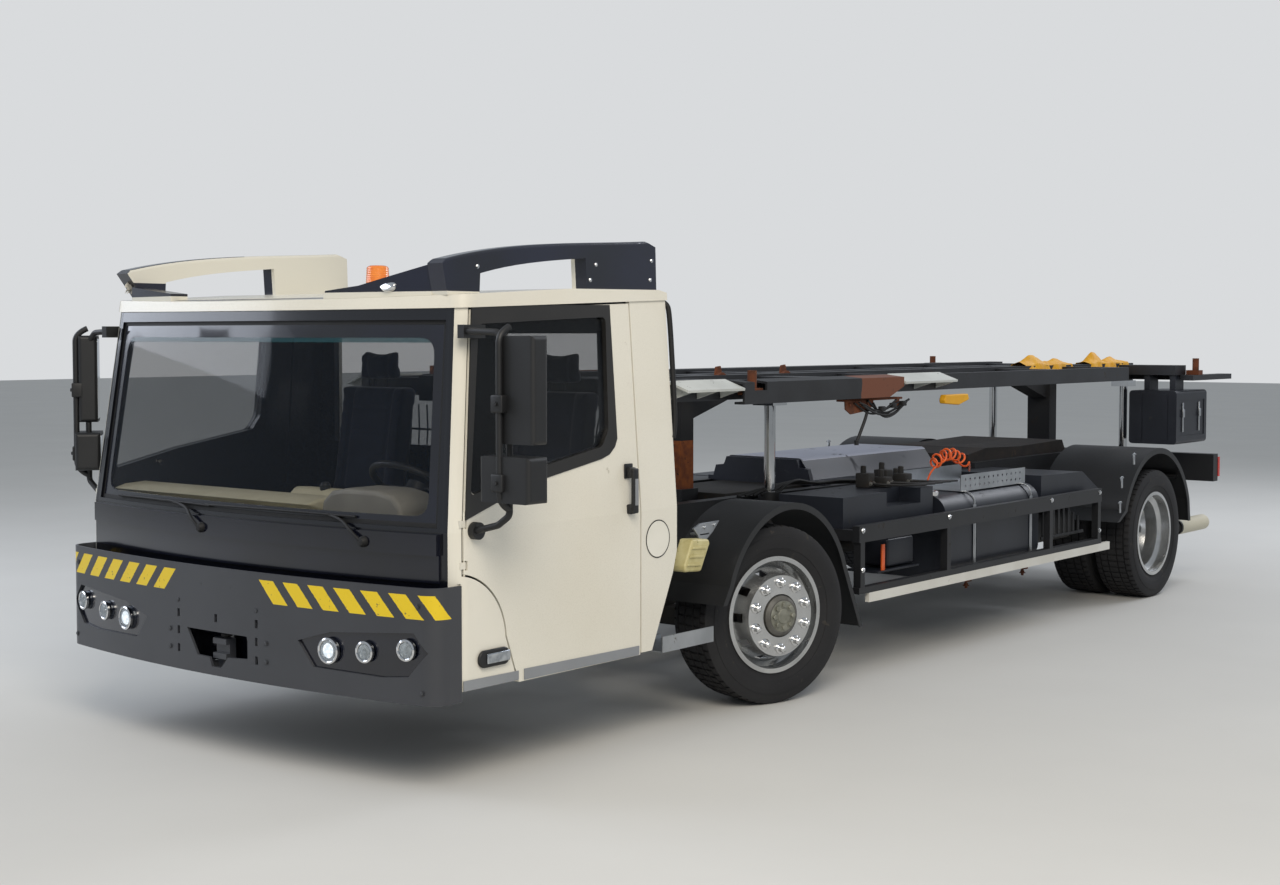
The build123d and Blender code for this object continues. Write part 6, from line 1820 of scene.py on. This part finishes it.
# ---- side and rear
@dataclass
class Equipment:
    """Fittings between the axles: coil, valve blocks, hoses, caps, latches, reservoir and rear lenses."""

    coil_turns: int = 7
    coil_round: float = 0.034
    coil_step: int = 14
    deck_z: float = 0.986
    guard_x: float = 1.244
    strap_y: tuple[float, float] = (2.1185, 2.8665)
    valves_at: tuple[tuple[float, float, float], ...] = ((1.372, 0.86, 0.085), (1.470, 0.92, 0.060), (1.560, 0.87,
        0.095), (1.662, 0.94, 0.070), (1.742, 0.86, 0.050))
    loom: int = 6
    slats: int = 8
    slat_pitch: float = 0.074

    def coil(self) -> None:
        """The orange coiled air line, stowed in an arch on the tray."""
        route = []
        steps = self.coil_turns * self.coil_step
        for t in [i / steps for i in range(steps + 1)]:
            around = math.tau * self.coil_turns * t
            route.append((1.000 + self.coil_round * math.cos(around), aft(1.905 + 0.400 * t
                + 0.016 * math.sin(around * 0.5)), 1.090 + 0.058 * math.sin(math.pi * t)
                + self.coil_round * math.sin(around)))
        ends = ([(0.990, aft(1.870), 0.990), (0.995, aft(1.876), 1.050), (1.034, aft(1.905), 1.090)], [(1.034,
            aft(2.305), 1.090), (1.020, aft(2.340), 1.070), (0.985, aft(2.400), 1.030)])
        tails = [pipe("tail", end, 0.0058, 3) for end in ends]
        dress(merge("air_coil", [pipe("turns", route, 0.0062, 3)] + tails), HOSE)

    def valves(self) -> None:
        """Valve blocks with unions and a bundle of hoses on the front equipment box."""
        blocks, unions, lines, foot = [], [], [], self.deck_z
        for i, (y, x, tall) in enumerate(self.valves_at):
            blocks.append(slab("block", (x - 0.045, aft(y - 0.036), foot), (x + 0.045, aft(y + 0.036), foot
                + tall), 0.006))
            blocks.append(lathe("solenoid", [(0, 0), (0, 0.017), (0.040, 0.017), (0.044, 0.012), (0.044, 0)],
                (x - 0.012, aft(y), foot + tall - 0.002), Axis.Z, 16))
            unions += bolts("union", [(x + 0.045, aft(y + d), 1.010) for d in (-0.018, 0.018)], Axis.X, 0.020,
                0.012)
            lines.append(pipe("line", [(x + 0.050, aft(y), 1.010), (x + 0.110, aft(y + 0.02), 1.006
                + 0.01 * (i % 2)), (1.110, aft(y + 0.09), 1.004), (1.118, aft(y + 0.26), 1.000)], 0.0065, 2))
        for i in range(self.loom):
            x = 0.50 + 0.020 * i
            lines.append(pipe("loom", [(x, aft(0.60 + 0.05 * i), 0.968), (x + 0.02, aft(0.95), 1.020 + 0.008 * i),
                (x, aft(1.25), 1.000), (x + 0.05, aft(1.50), 0.990 + 0.006 * i), (0.60 + 0.02 * i, aft(1.86),
                0.975)], 0.008, 2))
        dress(merge("valve_blocks", blocks), CAST, BASE)
        dress(merge("valve_unions", unions), HUB)
        dress(merge("air_lines", lines), SEAL, BASE)

    def tanks(self) -> None:
        """The filler caps, and the tanks' bright strap edges with the rusty tension bolts under them."""
        cap = lathe("fuel_cap_left", [(0, 0), (0, 0.040), (0.012, 0.044), (0.030, 0.044), (0.036, 0.036), (0.038,
            0.014), (0.046, 0.012), (0.046, 0)], (1.060, aft(1.792), 0.915), Axis.Z, 32)
        dress_both(cap, CHROME, BASE)
        edges, rods, x = [], [], 1.120
        for y in [aft(y) for y in self.strap_y]:
            edges.append(pipe("edge", [(1.1775, y, 0.450), (1.1775, y, 0.850), (1.1700, y, 0.895), (1.1300, y,
                0.9275), (1.0700, y, 0.9275)], 0.0045, 2))
            edges.append(slab("strap", (1.1735, y - 0.017, 0.470), (1.1765, y + 0.017, 0.850), 0.001))
            rods += [lathe("stud", [(0, 0), (0, 0.009), (0.090, 0.009), (0.092, 0)], (x, y, 0.338), Axis.Z, 12),
                hexagon("nut", (x, y, 0.352), Axis.Z, 0.030, 0.016), slab("saddle", (x - 0.035, y - 0.022, 0.380),
                (x + 0.030, y + 0.022, 0.392)), slab("ear", (x - 0.020, y - 0.018, 0.390), (x - 0.012, y + 0.018,
                0.432), 0.002)]
        dress_both(merge("tank_straps_left", edges), ALUMINIUM)
        dress_both(merge("strap_bolts_left", rods), RUSTY)

    def guards(self) -> None:
        """The side guards' bolts and blank plates, with what their first and last bays show."""
        places = [(self.guard_x, aft(y), z) for y, z in ((0.725, 0.815), (0.725, 0.600), (1.680, 0.815), (3.020,
            0.815), (3.745, 0.815), (3.745, 0.560))]
        dryer = merge("air_dryer_left", [slab("case", (0.960, aft(1.180), 0.560), (1.130, aft(1.470), 0.720),
            0.016, 3), slab("lid", (0.966, aft(1.190), 0.718), (1.124, aft(1.460), 0.742), 0.008, 3),
            slab("shelf", (0.940, aft(1.040), 0.540), (1.150, aft(1.500), 0.552))])
        louvre = [slab("frame", (1.140, aft(3.070), 0.545), (1.152, aft(3.700), 0.565)), slab("frame", (1.140,
            aft(3.070), 0.760), (1.152, aft(3.560), 0.780))]
        for y in [3.090 + i * self.slat_pitch for i in range(self.slats)]:
            top = 0.765 - max(0.0, y - 3.36) * 0.40
            louvre.append(slab("slat", (1.140, aft(y), 0.560), (1.150, aft(y + 0.030), top)))
        dress_both(merge("guard_bolts_left", bolts("bolt", places, Axis.X, 0.022, 0.010)), CHROME, BASE)
        dress_both(slab("blank_plate_left", (1.2385, aft(1.968), 0.758), (1.2420, aft(2.030), 0.822), 0.001),
            SIGN_WHITE)
        dress_both(dryer, DARK_SHELL)
        dress_both(slab("orange_tag_left", (1.140, aft(1.085), 0.552), (1.148, aft(1.120), 0.700), 0.002), HOSE)
        dress_both(merge("louvre_panel_left", louvre), CHASSIS, BASE)

    def reservoir(self) -> None:
        """The aged cream reservoir with its bracket plates ahead of the front wheel."""
        tank = [prism("body", rear_of((-0.790, 0.902), (-0.660, 0.892), (-0.650, 0.872), (-0.722, 0.742), (-0.850,
            0.750), (-0.856, 0.775)), Axis.X, 1.150, 1.232, 0.014, 4)]
        for y, z in ((-0.796, 0.868), (-0.818, 0.828), (-0.838, 0.790)):
            outline = rear_of((y, z), (y + 0.110, z - 0.008), (y + 0.106, z - 0.020), (y - 0.004, z - 0.012))
            tank.append(prism("rib", outline, Axis.X, 1.230, 1.238, 0.003))
        bracket = [prism("plate", rear_of((-0.690, 0.940), (-0.633, 0.961), (-0.475, 0.963), (-0.532, 0.910),
            (-0.620, 0.855), (-0.700, 0.736), (-0.730, 0.736), (-0.640, 0.880), (-0.655, 0.905)), Axis.X, 1.148,
            1.160, 0.003), slab("foot", (1.100, aft(-0.640), 0.900), (1.160, aft(-0.560), 0.912))]
        bracket += bolts("screw", [(1.160, aft(y), z) for y, z in ((-0.600, 0.938), (-0.520, 0.944), (-0.700,
            0.765))], Axis.X, 0.016, 0.007)
        dress_both(merge("reservoir_tank_left", tank), TANK_CREAM)
        dress_both(merge("reservoir_bracket_left", bracket), ALUMINIUM)

    def fender_latches(self) -> None:
        """The bright stays and latches along the rear fenders' front edges."""
        made = []
        for y, z in ((4.085, 0.860), (4.060, 0.690), (4.285, 1.010)):
            made.append(slab("latch", (1.246, aft(y - 0.012), z - 0.038), (1.256, aft(y + 0.012), z + 0.038)))
            made.append(pipe("hook", [(1.252, aft(y - 0.030), z + 0.030), (1.259, aft(y), z + 0.052), (1.252,
                aft(y + 0.026), z + 0.030)], 0.004, 2))
        dress_both(merge("fender_latches_left", made), ALUMINIUM)

    def rear(self) -> None:
        """The rear box's latches and ribs, and the rear lamps' red and amber lenses."""
        low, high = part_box("rear_box")
        x, back, foot = high[0], high[1], low[2]
        latches = []
        for y in (low[1] + 0.13, back - 0.15):
            latches += [slab("strap", (x - 0.001, y - 0.012, foot + 0.09), (x + 0.004, y + 0.012, foot + 0.31),
                0.002), slab("buckle", (x + 0.002, y - 0.018, foot + 0.20), (x + 0.011, y + 0.018, foot + 0.26),
                0.004)]
        ribs = [slab("rib", (low[0] + 0.02, back - 0.002, z), (x - 0.02, back + 0.006, z + 0.012)) for z in (foot
            + 0.08, foot + 0.28)]
        dress(merge("box_latches", latches), ALUMINIUM, LIFT)
        dress(merge("box_ribs", ribs), DARK_SHELL, LIFT)
        low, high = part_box("rear_lamps")
        for name, z0, z1, finish, slot in (("rear_lens_left", low[2] + 0.006, high[2] - 0.060, RED, "red_lens"),
                ("rear_indicator_left", high[2] - 0.056, high[2] - 0.006, AMBER, "orange_lens")):
            lens = slab(name, (1.044, high[1] - 0.001, z0), (1.181, high[1] + 0.005, z1))
            dress_both(lens, finish, BASE)

    def build(self) -> None:
        """Builds the fittings."""
        self.coil()
        self.valves()
        self.tanks()
        self.guards()
        self.reservoir()
        self.fender_latches()
        self.rear()


@dataclass
class Running(Assembly):
    """The chassis, axles and guards as the CAD made them, dressed."""

    finishes: tuple[tuple[Surface, tuple[str, ...]], ...] = ((CHASSIS, ("chassis_frame", "side_frames",
        "rear_beam")), (CAST, ("front_axle", "rear_axle", "knuckle_left", "knuckle_right", "engine_block")),
        (ENGINE_SHELL_PAINTED_TOP, ("engine_cover", )), (TAILPIPE, ("exhaust", )), (PLASTIC, ("fenders_front", "fenders_rear")),
        (DARK_SHELL, ("side_tanks", "equipment_boxes")), (WHITE_RAIL, ("side_rails", )), (RED, ("rear_lamps", )),
        (ALUMINIUM, ("steps", )), (MAT, ("deck_mats", )))

    def build(self) -> None:
        """Dresses each CAD node."""
        for finish, nodes in self.finishes:
            self.paint(finish, *nodes)
            LOG.info("%s on %s", finish.name, ", ".join(nodes))


def main() -> None:
    """Loads the frame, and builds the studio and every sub-assembly."""
    logging.basicConfig(level=logging.INFO, format="%(message)s")
    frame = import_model()
    for part in (Studio(), Wheels(frame), Cab(frame), Doors(frame), Seats(), Nose(frame), Running(frame),
            LiftGear(frame), Equipment()):
        part.build()
    LOG.info("all pieces built")


if __name__ == "__main__":
    main()
